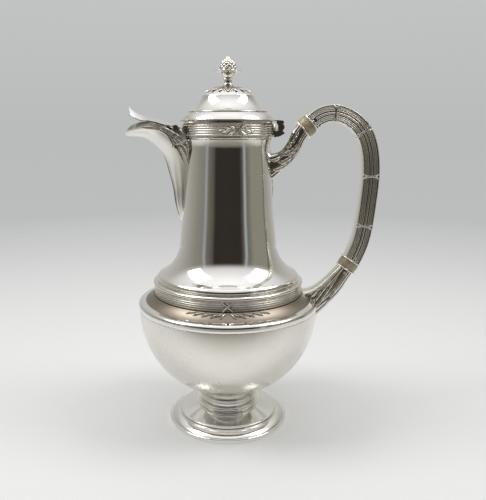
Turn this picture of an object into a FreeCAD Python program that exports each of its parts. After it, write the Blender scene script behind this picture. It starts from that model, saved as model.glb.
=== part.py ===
import FreeCAD, Part
import math
import os
import Sketcher

# A silver coffee pot on a spun foot, with a hinged lid, a covered spout and a handle held by two white rings.
# Millimetres. The origin is on the pot's axis in the plane that it stands on, +Z up, handle at +X, spout at -X.

os.makedirs("parts", exist_ok=True)
doc = FreeCAD.newDocument("coffee_pot")
Vector = FreeCAD.Vector

sizes = {
    # sheet thickness, fits and small edges
    "wall": 1.2,
    "pin_radius": 0.8,
    "pin_hole_radius": 0.85,
    # foot and stem
    "foot_radius": 45.4,
    "rim_wire_height": 3.2,
    "rim_wire_width": 3.0,
    "ovolo_radius": 9.0,
    "step_radius": 37.2,
    "step_level": 6.4,
    "plate_level": 8.8,
    "stem_level": 12.4,
    "stem_radius": 21.2,
    "knop_radius": 23.5,
    "knop_height": 3.6,
    "stem_ring_level": 19.6,
    "stem_ring_height": 2.4,
    "stem_ring_radius": 24.6,
    "stem_top_radius": 24.0,
    # bowl and shoulder
    "bowl_level": 27.0,
    "bowl_base_radius": 24.2,
    "bowl_curve_radius": 65.8,
    "bowl_radius": 66.0,
    "bowl_top_level": 90.5,
    "edge_radius": 66.8,
    "edge_level": 93.6,
    "shoulder_level": 96.4,
    "plinth_base_radius": 61.6,
    # waist
    "waist_level": 101.4,
    "waist_radius": 55.0,
    "waist_reed_bulge": 0.75,
    "waist_reed_pitch": 2.0,
    "waist_inner_radius": 53.4,
    # neck
    "neck_level": 111.4,
    "neck_recess_radius": 51.6,
    "neck_lip_radius": 52.6,
    "neck_lip_level": 113.0,
    "neck_lip_curve": 4.0,
    "flare_top_radius": 50.4,
    "flare_top_level": 116.2,
    "flare_curve": 26.0,
    "flare_end_radius": 35.8,
    "flare_end_level": 138.0,
    "neck_mid_radius": 33.2,
    "neck_mid_level": 160.0,
    "neck_top_radius": 30.6,
    "neck_top_level": 213.4,
    # collar
    "collar_reed_radius": 32.5,
    "collar_reed_bulge": 0.6,
    "collar_reed_pitch": 1.56,
    "collar_reed_level": 215.6,
    "collar_edge_radius": 31.9,
    "collar_top_level": 225.5,
    # lid
    "lid_level": 225.8,
    "lid_rim_radius": 34.4,
    "lid_rim_thickness": 0.9,
    "bezel_radius": 27.9,
    "bezel_level": 221.2,
    "lid_step_radius": 28.3,
    "lid_step_level": 232.5,
    "lid_dome_radius": 18.6,
    "lid_dome_level": 243.1,
    "lid_dome_curve": 17.0,
    "lid_crown_level": 248.6,
    "stud_radius": 1.6,
    # finial
    "finial_stem_level": 249.6,
    "finial_dish_level": 256.8,
    "finial_dish_radius": 10.0,
    "finial_bud_level": 260.6,
    "finial_bud_radius": 6.2,
    "pot_height": 270.0,
    # lid hinge
    "hinge_offset": 37.3,
    "hinge_level": 221.7,
    "hinge_knuckle_radius": 2.3,
    "hinge_half_length": 7.6,
    "hinge_middle_half": 2.7,
    # spout cover hinge
    "flap_hinge_offset": 36.6,
    "flap_hinge_level": 221.2,
    "flap_knuckle_radius": 2.0,
    "flap_half_length": 8.2,
    "flap_middle_half": 2.7,
    "flap_thickness": 1.0,
    # handle
    "grip_depth": 12.0,
    "grip_width": 12.6,
    "tenon_radius": 3.4,
    "tenon_length": 5.2,
    "ring_radius": 7.5,
    "ring_half_thickness": 3.2,
    "flange_radius": 7.9,
    "flange_thickness": 0.9,
    "rivet_radius": 1.0,
}

sheet = doc.addObject("Spreadsheet::Sheet", "Sizes")
for row, (name, size) in enumerate(sizes.items(), start=1):
    sheet.set(f"A{row}", name)
    sheet.set(f"B{row}", str(size))
    sheet.setAlias(f"B{row}", name)
doc.recompute()


def number(text):
    """The value of a sum of sheet names and plain numbers, such as 'foot_radius - wall'."""
    total = 0.0
    sign = 1
    for word in str(text).split():
        if word in "+-":
            sign = 1 if word == "+" else -1
        else:
            total += sign * (sizes[word] if word in sizes else float(word))
    return total


def formula(text):
    """The same sum as an expression that reads the sheet."""
    return " ".join("Sizes." + word if word in sizes else word for word in str(text).split())


def draw(sketch, corners):
    """Joins the corners by straight lines. A corner with a radius ends an arc whose centre is on the named side."""
    spots = [Vector(number(corner[0]), number(corner[1]), 0) for corner in corners]
    ends = []
    for index, corner in enumerate(corners):
        start = spots[index - 1]
        end = spots[index]
        if len(corner) == 2:
            curve = Part.LineSegment(start, end)
        else:
            radius = number(corner[2])
            chord = end - start
            left = Vector(-chord.y, chord.x, 0).normalize()
            if corner[3] == "right":
                left = left * -1
            drop = math.sqrt(radius ** 2 - (chord.Length / 2) ** 2)
            middle = start + chord * 0.5 + left * (drop - radius)
            curve = Part.Arc(start, middle, end)
        line = sketch.addGeometry(curve)
        first = 1 if sketch.getPoint(line, 1).distanceToPoint(start) < 0.001 else 2
        ends.append((line, first, 3 - first))
        if len(corner) > 2:
            held = sketch.addConstraint(Sketcher.Constraint("Radius", line, number(corner[2])))
            sketch.setExpression(f"Constraints[{held}]", formula(corner[2]))
    for index, corner in enumerate(corners):
        line, first, last = ends[index]
        following = ends[(index + 1) % len(ends)]
        sketch.addConstraint(Sketcher.Constraint("Coincident", line, last, following[0], following[1]))
        for kind, axis, text in (("DistanceX", -2, corner[0]), ("DistanceY", -1, corner[1])):
            if number(text) == 0:
                sketch.addConstraint(Sketcher.Constraint("PointOnObject", line, last, axis))
            else:
                held = sketch.addConstraint(Sketcher.Constraint(kind, -1, 1, line, last, number(text)))
                sketch.setExpression(f"Constraints[{held}]", formula(text))


def upright_sketch(body, corners):
    """A sketch on the body's own XZ plane."""
    plane = [feature for feature in body.Origin.OriginFeatures if feature.Role == "XZ_Plane"][0]
    sketch = body.newObject("Sketcher::SketchObject", "Outline")
    sketch.AttachmentSupport = [(plane, "")]
    sketch.MapMode = "FlatFace"
    draw(sketch, corners)
    return sketch


def turned(label, corners):
    """A body of revolution about its Z axis: the corners are radius and height."""
    body = doc.addObject("PartDesign::Body", label)
    sketch = upright_sketch(body, corners)
    solid = body.newObject("PartDesign::Revolution", "Turned")
    solid.Profile = sketch
    solid.ReferenceAxis = (sketch, ["V_Axis"])
    solid.Angle = 360
    doc.recompute()
    return body


def padded(label, corners, depth):
    """A body as deep as asked, half on each side of the XZ plane: the corners are X and Z."""
    body = doc.addObject("PartDesign::Body", label)
    sketch = upright_sketch(body, corners)
    solid = body.newObject("PartDesign::Pad", "Padded")
    solid.Profile = sketch
    solid.Midplane = True
    solid.setExpression("Length", formula(depth))
    doc.recompute()
    return body


def cylinder(label, radius, length, centre, direction=Vector(0, 1, 0)):
    """A rod of the length, centred on a point, along a direction."""
    rod = doc.addObject("Part::Cylinder", label)
    rod.setExpression("Radius", formula(radius))
    rod.setExpression("Height", formula(length))
    turn = FreeCAD.Rotation(Vector(0, 0, 1), direction)
    start = centre - direction * (number(length) / 2)
    rod.Placement = FreeCAD.Placement(start, turn)
    return rod


def cut(label, base, tools):
    """The base less every tool."""
    for index, tool in enumerate(tools):
        last = index == len(tools) - 1
        result = doc.addObject("Part::Cut", label if last else label + "_step")
        result.Base = base
        result.Tool = tool
        base = result
    doc.recompute()
    return base


def joined(label, pieces):
    """The pieces fused into one solid."""
    result = doc.addObject("Part::MultiFuse", label)
    result.Shapes = pieces
    result.Refine = True
    doc.recompute()
    return result


def shared(label, pieces):
    """What the pieces have in common."""
    result = doc.addObject("Part::MultiCommon", label)
    result.Shapes = pieces
    doc.recompute()
    return result


def fixed_shape(label, shape):
    """An object that holds a shape made by a formula."""
    piece = doc.addObject("Part::Feature", label)
    piece.Shape = shape
    return piece


nodes = []


def keep(piece):
    """Marks a sub-part as one of the pot's own pieces."""
    nodes.append(piece)
    return piece


# Foot: a rim wire on the ground, a stepped plate, a hollow stem with two rings.
keep(turned("foot_rim_wire", [
    ("foot_radius - rim_wire_width", "0"),
    ("foot_radius", "0"),
    ("foot_radius", "rim_wire_height - 0.9"),
    ("foot_radius - 0.9", "rim_wire_height", "0.9", "left"),
    ("foot_radius - rim_wire_width", "rim_wire_height"),
]))
keep(turned("foot_plate", [
    ("foot_radius - 1.2", "rim_wire_height"),
    ("step_radius + 0.9", "step_level", "ovolo_radius", "left"),
    ("step_radius", "step_level"),
    ("step_radius", "plate_level - 0.4"),
    ("step_radius - 0.8", "plate_level"),
    ("stem_radius", "stem_level"),
    ("stem_radius", "stem_level - wall"),
    ("step_radius - wall", "plate_level - wall"),
    ("step_radius - wall", "step_level - wall"),
    ("step_radius + 0.6", "step_level - wall"),
    ("foot_radius - rim_wire_width", "rim_wire_height", "ovolo_radius", "right"),
]))
keep(turned("foot_stem", [
    ("stem_radius", "stem_level"),
    ("stem_radius", "stem_ring_level - 1.6"),
    ("stem_top_radius - 0.8", "stem_ring_level", "8.0", "right"),
    ("stem_top_radius - 0.8", "stem_ring_level + stem_ring_height"),
    ("stem_top_radius", "bowl_level"),
    ("stem_top_radius - wall", "bowl_level"),
    ("stem_top_radius - 0.8 - wall", "stem_ring_level + stem_ring_height"),
    ("stem_top_radius - 0.8 - wall", "stem_ring_level"),
    ("stem_radius - wall", "stem_ring_level - 1.6", "8.0", "left"),
    ("stem_radius - wall", "stem_level"),
]))
keep(turned("foot_knop_ring", [
    ("stem_radius", "stem_level"),
    ("knop_radius - 0.6", "stem_level"),
    ("knop_radius - 0.6", "stem_level + knop_height", "2.6", "left"),
    ("stem_radius", "stem_level + knop_height"),
]))
keep(turned("stem_ring", [
    ("stem_top_radius - 0.8", "stem_ring_level"),
    ("stem_ring_radius - 0.5", "stem_ring_level"),
    ("stem_ring_radius - 0.5", "stem_ring_level + stem_ring_height", "1.7", "left"),
    ("stem_top_radius - 0.8", "stem_ring_level + stem_ring_height"),
]))

# Bowl and shoulder: one round bowl, a rolled edge and a flat shoulder.
keep(turned("bowl", [
    ("0", "bowl_level"),
    ("bowl_base_radius", "bowl_level"),
    ("bowl_radius", "bowl_top_level", "bowl_curve_radius", "left"),
    ("bowl_radius - wall", "bowl_top_level"),
    ("bowl_base_radius - 0.4", "bowl_level + wall", "bowl_curve_radius - wall", "right"),
    ("0", "bowl_level + wall"),
]))
shoulder = keep(turned("shoulder", [
    ("bowl_radius", "bowl_top_level"),
    ("edge_radius", "edge_level - 1.6"),
    ("edge_radius", "edge_level"),
    ("edge_radius - 2.3", "shoulder_level - 0.4", "2.5", "left"),
    ("plinth_base_radius", "shoulder_level"),
    ("plinth_base_radius - wall", "shoulder_level"),
    ("plinth_base_radius - wall", "shoulder_level - wall"),
    ("edge_radius - 3.0", "shoulder_level - 0.6 - wall"),
    ("edge_radius - wall - 0.4", "edge_level - 0.4"),
    ("bowl_radius - wall", "bowl_top_level"),
]))

# Waist: a sloping chased band, and a reeded band of rings above it.
keep(turned("waist_plinth", [
    ("plinth_base_radius - wall", "shoulder_level"),
    ("plinth_base_radius", "shoulder_level"),
    ("waist_radius + 0.9", "waist_level", "16.0", "right"),
    ("waist_radius + 0.9 - wall", "waist_level"),
    ("plinth_base_radius - wall - 0.6", "shoulder_level", "16.0", "left"),
]))


def reeded(base_radius, base_level, pitch, bulge, count):
    """Corners of a column of equal half-round reeds, each an arc as tall as the pitch, bulging outwards."""
    corners = [(base_radius, base_level)]
    chord = number(pitch)
    radius = (chord ** 2 / 4 + number(bulge) ** 2) / (2 * number(bulge))
    for reed in range(1, count + 1):
        level = base_level + f" + {pitch}" * reed
        corners.append((base_radius, level, f"{radius:.4f}", "left"))
    return corners


WAIST_REEDS = 5
COLLAR_REEDS = 5
waist_reeds = reeded("waist_radius", "waist_level", "waist_reed_pitch", "waist_reed_bulge", WAIST_REEDS)
waist_band = keep(turned("waist_band", waist_reeds + [
    ("waist_inner_radius", "neck_level"),
    ("waist_inner_radius - 4.0", "neck_level"),
    ("waist_inner_radius - 4.0", "neck_level - wall"),
    ("waist_inner_radius", "neck_level - wall"),
    ("waist_inner_radius", "waist_level"),
]))

# Neck: a flared skirt that rises to a slender neck, pierced behind the spout as a strainer.
neck_outside = [
    ("neck_recess_radius", "neck_level"),
    ("neck_recess_radius", "neck_lip_level"),
    ("neck_lip_radius", "neck_lip_level"),
    ("flare_top_radius", "flare_top_level", "neck_lip_curve", "left"),
    ("flare_end_radius", "flare_end_level", "flare_curve", "right"),
    ("neck_mid_radius", "neck_mid_level"),
    ("neck_top_radius", "neck_top_level - 5.0"),
    ("neck_top_radius", "neck_top_level"),
]
neck_blank = turned("neck_blank", neck_outside + [
    ("neck_top_radius - wall", "neck_top_level"),
    ("neck_top_radius - wall", "neck_top_level - 5.0"),
    ("neck_mid_radius - wall", "neck_mid_level"),
    ("flare_end_radius - wall", "flare_end_level"),
    ("flare_top_radius - wall", "flare_top_level - wall", "flare_curve", "left"),
    ("neck_recess_radius - wall", "neck_level"),
])
neck_core = turned("neck_core", neck_outside + [("0", "neck_top_level"), ("0", "neck_level")])

STRAINER_ROWS = 6
STRAINER_HOLE = 3.0
strainer_holes = []
for row in range(STRAINER_ROWS):
    for column in (-1, 0, 1):
        level = 168.0 + 6.0 * row + (3.0 if column else 0.0)
        aim = Vector(-math.cos(math.radians(8.5 * column)), math.sin(math.radians(8.5 * column)), 0)
        hole = Part.makeCylinder(STRAINER_HOLE / 2, 12.0, Vector(0, 0, level) + aim * 26.0, aim)
        strainer_holes.append(hole)
strainer = fixed_shape("strainer_holes", Part.makeCompound(strainer_holes))
neck = keep(cut("neck", neck_blank, [strainer]))

# Collar: a reeded ring on top of the neck, with a flat seat for the lid.
collar_reeds = reeded("collar_reed_radius", "collar_reed_level", "collar_reed_pitch", "collar_reed_bulge", COLLAR_REEDS)
collar = keep(turned("collar", [
    ("neck_top_radius - wall", "neck_top_level"),
    ("neck_top_radius + 0.4", "neck_top_level"),
    ("collar_edge_radius - 0.2", "neck_top_level + 0.9"),
    ("collar_edge_radius - 0.2", "collar_reed_level - 0.5"),
    ("collar_reed_radius", "collar_reed_level - 0.5"),
] + collar_reeds + [
    ("collar_edge_radius", "collar_top_level - 1.2"),
    ("collar_edge_radius", "collar_top_level"),
    ("neck_top_radius - wall", "collar_top_level"),
]))
collar_core = turned("collar_core", [
    ("0", "neck_top_level"),
    ("collar_reed_radius + 0.7", "neck_top_level"),
    ("collar_reed_radius + 0.7", "collar_top_level"),
    ("0", "collar_top_level"),
])
body_core = joined("body_core", [neck_core, collar_core])

# Lid: a stepped dome, the ring that goes down into the collar, and a rosette of leaves under the finial.
keep(turned("lid_dome", [
    ("bezel_radius", "lid_level"),
    ("lid_rim_radius", "lid_level"),
    ("lid_rim_radius", "lid_level + lid_rim_thickness"),
    ("lid_rim_radius - 1.2", "lid_level + lid_rim_thickness + 0.3"),
    ("lid_step_radius + 0.2", "lid_step_level - 0.9", "12.0", "left"),
    ("lid_step_radius - 0.4", "lid_step_level - 0.9"),
    ("lid_step_radius - 0.4", "lid_step_level - 0.4"),
    ("lid_step_radius", "lid_step_level"),
    ("lid_dome_radius", "lid_dome_level", "lid_dome_curve", "right"),
    ("stud_radius", "lid_crown_level", "20.0", "left"),
    ("stud_radius", "lid_crown_level - wall"),
    ("lid_dome_radius - wall", "lid_dome_level - 0.4", "18.8", "right"),
    ("lid_step_radius - 1.8", "lid_step_level - wall", "lid_dome_curve + wall", "left"),
    ("bezel_radius", "lid_level + lid_rim_thickness + 0.9"),
]))
keep(turned("lid_bezel", [
    ("bezel_radius - 1.0", "bezel_level"),
    ("bezel_radius", "bezel_level"),
    ("bezel_radius", "lid_level + lid_rim_thickness + 0.9"),
    ("bezel_radius - 1.0", "lid_level + lid_rim_thickness + 0.9"),
]))
crown = turned("rosette_blank", [
    ("stud_radius", "lid_crown_level"),
    ("lid_dome_radius", "lid_dome_level", "20.0", "right"),
    ("lid_dome_radius + 0.6", "lid_dome_level + 0.5"),
    ("3.8", "finial_stem_level", "22.7", "left"),
    ("stud_radius", "finial_stem_level"),
])
ROSETTE_LEAVES = 16
notches = []
for leaf in range(ROSETTE_LEAVES):
    turn = 360.0 / ROSETTE_LEAVES * (leaf + 0.5)
    notch = Part.makePolygon([Vector(11.5, 0, 240), Vector(22, 1.7, 240), Vector(22, -1.7, 240), Vector(11.5, 0, 240)])
    solid = Part.Face(notch).extrude(Vector(0, 0, 14))
    solid.rotate(Vector(0, 0, 0), Vector(0, 0, 1), turn)
    notches.append(solid)
keep(cut("lid_rosette", crown, [fixed_shape("rosette_notches", Part.makeCompound(notches))]))

# Finial: a screwed stem, a leafy dish and a bud, held by a nut inside the lid.
keep(turned("finial_stem", [
    ("0", "lid_crown_level - 6.4"),
    ("stud_radius", "lid_crown_level - 6.4"),
    ("stud_radius", "finial_stem_level"),
    ("3.8", "finial_stem_level"),
    ("3.8", "finial_stem_level + 0.8"),
    ("2.9", "finial_stem_level + 2.4"),
    ("3.0", "finial_stem_level + 4.0"),
    ("4.6", "finial_dish_level", "5.0", "right"),
    ("0", "finial_dish_level"),
]))
keep(turned("finial_dish", [
    ("0", "finial_dish_level"),
    ("4.6", "finial_dish_level"),
    ("finial_dish_radius", "finial_dish_level + 2.7", "8.0", "right"),
    ("finial_dish_radius", "finial_dish_level + 3.3"),
    ("5.2", "finial_bud_level"),
    ("0", "finial_bud_level"),
]))
keep(turned("finial_bud", [
    ("0", "finial_bud_level"),
    ("5.2", "finial_bud_level"),
    ("finial_bud_radius + 0.4", "finial_bud_level + 0.9"),
    ("finial_bud_radius", "finial_bud_level + 2.4"),
    ("1.3", "pot_height - 2.6", "6.0", "left"),
    ("1.7", "pot_height - 1.7"),
    ("0", "pot_height", "1.7", "left"),
]))
nut_points = [
    Vector(3.4 * math.cos(math.radians(60 * k)), 3.4 * math.sin(math.radians(60 * k)), 0) for k in range(7)
]
nut = Part.Face(Part.makePolygon(nut_points)).extrude(Vector(0, 0, 2.6))
nut = nut.cut(Part.makeCylinder(number("stud_radius"), 2.6))
finial_nut = keep(fixed_shape("finial_nut", nut))
finial_nut.Placement.Base = Vector(0, 0, number("lid_crown_level - wall - 2.6"))

# Lid hinge: a bracket on the collar with two knuckles, and a middle knuckle whose tang holds the lid.
hinge_line = Vector(number("hinge_offset"), 0, number("hinge_level"))
lid_rim_disc = doc.addObject("Part::Cylinder", "lid_rim_disc")
lid_rim_disc.setExpression("Radius", "Sizes.lid_rim_radius")
lid_rim_disc.Height = 8.0
lid_rim_disc.Placement.Base = Vector(0, 0, number("lid_level - 2.0"))
bracket_block = padded("bracket_block", [
    ("31.0", "214.4"),
    ("36.0", "215.2"),
    ("40.0", "217.3"),
    ("38.4", "219.0"),
    ("31.0", "219.0"),
], "hinge_half_length + hinge_half_length")
keep(cut("lid_hinge_bracket", bracket_block, [body_core]))


def knuckle(label, middle, half, centre, radius, foot):
    """A drilled barrel along Y, from the middle by half each way, fused with a foot given as corners in XZ."""
    barrel = cylinder(label + "_barrel", radius, str(2 * half), Vector(centre.x, middle, centre.z))
    block = padded(label + "_foot", foot, str(2 * half))
    block.Placement.Base = Vector(0, middle, 0)
    blank = joined(label + "_blank", [barrel, block])
    bore = cylinder(label + "_bore", "pin_hole_radius", "40", Vector(centre.x, middle, centre.z))
    return blank, bore


hinge_foot = [
    ("hinge_offset - 2.3", "hinge_level"),
    ("hinge_offset - 2.3", "219.0"),
    ("hinge_offset + 1.1", "219.0"),
    ("hinge_offset + 2.1", "hinge_level"),
]
outer_half = (number("hinge_half_length") - number("hinge_middle_half") - 0.3) / 2
outer_middle = number("hinge_half_length") - outer_half
for side, name in ((-1, "near"), (1, "far")):
    blank, bore = knuckle(
        f"lid_hinge_knuckle_{name}", side * outer_middle, outer_half, hinge_line, "hinge_knuckle_radius", hinge_foot
    )
    keep(cut(f"lid_hinge_knuckle_{name}", blank, [bore]))
tang = [
    ("hinge_offset - 2.0", "hinge_level + 1.0"),
    ("hinge_offset - 2.9", "lid_level - 1.0"),
    ("31.0", "lid_level"),
    ("31.0", "lid_level + lid_rim_thickness"),
    ("hinge_offset + 1.4", "lid_level + 0.5"),
    ("hinge_offset + 2.5", "hinge_level + 3.6"),
    ("hinge_offset + 1.6", "hinge_level + 1.6"),
]
blank, bore = knuckle(
    "lid_hinge_knuckle_middle", 0, number("hinge_middle_half"), hinge_line, "hinge_knuckle_radius", tang
)
keep(cut("lid_hinge_knuckle_middle", blank, [lid_rim_disc, bore]))


def headed_pin(label, centre, half):
    """A hinge pin along Y with a low head at each end, just outside the knuckles."""
    rod = cylinder(label + "_rod", "pin_radius", str(2 * half + 1.4), centre)
    heads = [
        cylinder(f"{label}_head_{side}", "pin_radius + 0.6", "0.6", centre + Vector(0, side * (half + 0.4), 0))
        for side in (-1, 1)
    ]
    return joined(label, [rod] + heads)


keep(headed_pin("lid_hinge_pin", hinge_line, number("hinge_half_length")))

# Spout: half-ellipse sections, each from the keel to a centre near the neck's wall, at a half width there.
spout_sections = [
    # keel x, keel z, centre x, centre z, half width
    (-33.8, 153.5, -27.0, 154.5, 2.0),
    (-35.6, 158.0, -26.5, 160.5, 8.0),
    (-37.6, 165.0, -26.0, 168.0, 9.6),
    (-39.2, 177.0, -25.5, 182.0, 10.2),
    (-42.0, 189.2, -25.0, 196.0, 12.0),
    (-46.2, 202.0, -24.6, 211.0, 15.4),
    (-53.0, 209.8, -24.4, 223.0, 17.0),
    (-61.5, 214.6, -24.2, 232.0, 17.0),
    (-73.2, 216.2, -24.0, 240.0, 17.0),
    (-74.2, 221.0, -24.0, 247.0, 17.0),
    (-73.0, 227.0, -24.0, 254.0, 17.0),
]
# The wall's upper edge seen from the side, from the lip back to the neck.
spout_rim = [
    (-80.0, 216.2),
    (-73.2, 216.2),
    (-71.4, 219.0),
    (-69.2, 221.6),
    (-65.6, 223.6),
    (-60.6, 225.1),
    (-54.8, 225.6),
    (-49.2, 224.6),
    (-44.3, 222.6),
    (-40.1, 220.0),
    (-24.8, 211.6),
    (-10.0, 203.0),
]


def spout_loft(growth, first=0):
    """The solid through the sections, each grown outwards by the growth."""
    wires = []
    for keel_x, keel_z, centre_x, centre_z, half_width in spout_sections[first:]:
        centre = Vector(centre_x, 0, centre_z)
        out = Vector(keel_x - centre_x, 0, keel_z - centre_z)
        reach = out.Length + growth
        out.normalize()
        width = half_width + growth
        points = []
        for step in range(13):
            angle = math.pi * (step / 12 - 0.5)
            points.append(centre + out * (reach * math.cos(angle)) + Vector(0, width * math.sin(angle), 0))
        curve = Part.BSplineCurve()
        curve.interpolate(points)
        edges = [curve.toShape(), Part.makeLine(points[-1], points[0])]
        wires.append(Part.Wire(edges))
    return Part.makeLoft(wires, True, False)


above_rim = [Vector(x, -40, z) for x, z in spout_rim]
above_rim += [Vector(-10, -40, 270), Vector(-80, -40, 270)]
above_rim.append(above_rim[0])
above_rim = fixed_shape("above_rim", Part.Face(Part.makePolygon(above_rim)).extrude(Vector(0, 80, 0)))
spout_outer = fixed_shape("spout_outer", spout_loft(0.0))
spout_inner = fixed_shape("spout_inner", spout_loft(-number("wall"), 1))
spout = keep(cut("spout", spout_outer, [spout_inner, above_rim, body_core]))

# The keel rib and the leaves that are laid on the spout's cheeks.
spout_grown = fixed_shape("spout_grown", spout_loft(0.9))
rib_zone = doc.addObject("Part::Box", "rib_zone")
rib_zone.Length = 30.0
rib_zone.Width = 3.0
rib_zone.Height = 54.0
rib_zone.Placement.Base = Vector(-62.0, -1.5, 156.0)
rib_blank = shared("rib_blank", [spout_grown, rib_zone])
keep(cut("spout_keel_rib", rib_blank, [spout_outer, body_core]))

spout_leaf = [
    (-43.5, 221.0),
    (-39.0, 217.6),
    (-33.4, 215.6),
    (-31.4, 206.6),
    (-33.0, 198.6),
    (-36.0, 203.0),
    (-38.6, 200.4),
    (-39.2, 209.0),
    (-42.6, 207.4),
    (-42.0, 214.6),
]
for side, name in ((-1, "near"), (1, "far")):
    leaf_points = [Vector(x, 0, z) for x, z in spout_leaf]
    leaf_points.append(leaf_points[0])
    zone = fixed_shape(f"leaf_zone_{name}", Part.Face(Part.makePolygon(leaf_points)).extrude(Vector(0, side * 30, 0)))
    leaf_blank = shared(f"leaf_blank_{name}", [spout_grown, zone])
    keep(cut(f"spout_leaf_{name}", leaf_blank, [spout_outer, above_rim, body_core]))

# The bridge that closes the spout's top behind its cover, with a scroll at each end.
bridge_block = padded("bridge_block", [
    ("0 - 38.6", "218.8"),
    ("0 - 38.6", "217.7"),
    ("0 - 29.0", "213.5"),
    ("0 - 24.8", "213.5"),
    ("0 - 24.8", "218.8"),
], "36.0")
bridge_blank = shared("bridge_blank", [bridge_block, spout_outer])
bridge = keep(cut("spout_bridge", bridge_blank, [body_core, spout]))
SCROLL_RADIUS = 2.7
scroll_centre = Vector(-33.6, 0, 219.8)
for start, name in ((17, "near"), (-30, "far")):
    profile = Part.Face(Part.Wire(Part.makeCircle(SCROLL_RADIUS, scroll_centre, Vector(0, 1, 0))))
    profile.rotate(Vector(0, 0, 0), Vector(0, 0, 1), start)
    scroll = profile.revolve(Vector(0, 0, 0), Vector(0, 0, 1), 13)
    keep(cut(f"spout_scroll_{name}", fixed_shape(f"scroll_blank_{name}", scroll), [body_core, bridge, spout]))

# The spout's cover: a curved leaf with an upturned tip, on a barrel hinge that stands on the bridge.
flap_line = Vector(-number("flap_hinge_offset"), 0, number("flap_hinge_level"))
flap_outer_half = (number("flap_half_length") - number("flap_middle_half") - 0.3) / 2
flap_outer_middle = number("flap_half_length") - flap_outer_half
flap_foot = [
    ("0 - flap_hinge_offset - 1.9", "flap_hinge_level"),
    ("0 - flap_hinge_offset - 1.9", "218.8"),
    ("0 - flap_hinge_offset + 1.9", "218.8"),
    ("0 - flap_hinge_offset + 1.9", "flap_hinge_level"),
]
for side, name in ((-1, "near"), (1, "far")):
    blank, bore = knuckle(
        f"flap_knuckle_{name}", side * flap_outer_middle, flap_outer_half, flap_line, "flap_knuckle_radius", flap_foot
    )
    keep(cut(f"flap_knuckle_{name}", blank, [bore]))
blank, bore = knuckle("flap_knuckle_middle", 0, number("flap_middle_half"), flap_line, "flap_knuckle_radius", [
    ("0 - flap_hinge_offset", "221.9"),
    ("0 - 38.9", "221.9"),
    ("0 - 38.9", "222.9"),
    ("0 - flap_hinge_offset", "222.9"),
])
keep(cut("flap_knuckle_middle", blank, [bore]))
keep(headed_pin("flap_pin", flap_line, number("flap_half_length")))

# The cover's ridge in the XZ plane, and its outline from above as x and half width.
flap_ridge = [
    (-38.9, 222.9),
    (-44.0, 224.8),
    (-50.0, 226.6),
    (-56.5, 228.1),
    (-62.0, 229.9),
    (-66.0, 232.5),
    (-68.9, 235.4),
]
flap_side = [(-38.9, 12.0), (-45.0, 16.0), (-52.0, 15.4), (-58.0, 12.8), (-63.5, 8.6), (-67.0, 4.2), (-69.0, 0.0)]


def smooth(points):
    """A smooth edge through the points."""
    curve = Part.BSplineCurve()
    curve.interpolate(points)
    return curve.toShape()


top_points = [Vector(x, -18, z) for x, z in flap_ridge]
drop = Vector(0, 0, -number("flap_thickness"))
low_points = [point + drop for point in top_points]
strip = Part.Wire([
    smooth(top_points),
    Part.makeLine(top_points[-1], low_points[-1]),
    smooth(low_points),
    Part.makeLine(low_points[0], top_points[0]),
])
strip = Part.Face(strip).extrude(Vector(0, 36, 0))
near_edge = [Vector(x, -y, 215) for x, y in flap_side]
far_edge = [Vector(x, y, 215) for x, y in flap_side]
leaf_outline = Part.Wire([smooth(near_edge), smooth(far_edge), Part.makeLine(near_edge[0], far_edge[0])])
leaf_prism = Part.Face(leaf_outline).extrude(Vector(0, 0, 30))
flap_parts = [fixed_shape("flap_strip", strip), fixed_shape("flap_prism", leaf_prism)]
keep(shared("flap_leaf", flap_parts))

# Handle: sockets on the pot, a white ring between two flanges at each end, and the curved grip.
upper_angle = math.radians(40.5)
lower_angle = math.radians(238.2)
upper_centre = Vector(56.1, 0, 222.3)
lower_centre = Vector(89.7, 0, 121.75)
upper_axis = Vector(math.cos(upper_angle), 0, math.sin(upper_angle))
lower_axis = Vector(math.cos(lower_angle), 0, math.sin(lower_angle))
ring_face = number("ring_half_thickness")
joint_face = ring_face + number("flange_thickness")

rivet_solids = []
for centre, axis in ((upper_centre, upper_axis), (lower_centre, lower_axis)):
    for side in (-1, 1):
        middle = centre + axis * (side * (joint_face + number("tenon_length") / 2))
        start = middle - Vector(0, number("grip_depth") / 2, 0)
        rivet_solids.append(Part.makeCylinder(number("rivet_radius"), number("grip_depth"), start, Vector(0, 1, 0)))
rivets = keep(fixed_shape("handle_rivets", Part.makeCompound(rivet_solids)))

insulators = {}
for name, centre, axis in (("upper", upper_centre, upper_axis), ("lower", lower_centre, lower_axis)):
    place = FreeCAD.Placement(centre, FreeCAD.Rotation(Vector(0, 0, 1), axis))
    blank = turned(f"{name}_insulator_blank", [
        ("0", "0 - ring_half_thickness - flange_thickness - tenon_length"),
        ("tenon_radius", "0 - ring_half_thickness - flange_thickness - tenon_length"),
        ("tenon_radius", "0 - ring_half_thickness"),
        ("ring_radius - 0.5", "0 - ring_half_thickness"),
        ("ring_radius - 0.5", "ring_half_thickness", "10.5", "left"),
        ("tenon_radius", "ring_half_thickness"),
        ("tenon_radius", "ring_half_thickness + flange_thickness + tenon_length"),
        ("0", "ring_half_thickness + flange_thickness + tenon_length"),
    ])
    blank.Placement = place
    insulators[name] = keep(cut(f"{name}_insulator", blank, [rivets]))
    for side in (-1, 1):
        near = "0 - ring_half_thickness - flange_thickness" if side < 0 else "ring_half_thickness"
        far = "0 - ring_half_thickness" if side < 0 else "ring_half_thickness + flange_thickness"
        holder = "socket" if (side < 0) == (name == "upper") else "grip"
        flange = keep(turned(f"{name}_{holder}_flange", [
            ("tenon_radius", near),
            ("flange_radius", near),
            ("flange_radius", far),
            ("tenon_radius", far),
        ]))
        flange.Placement = place

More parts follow.
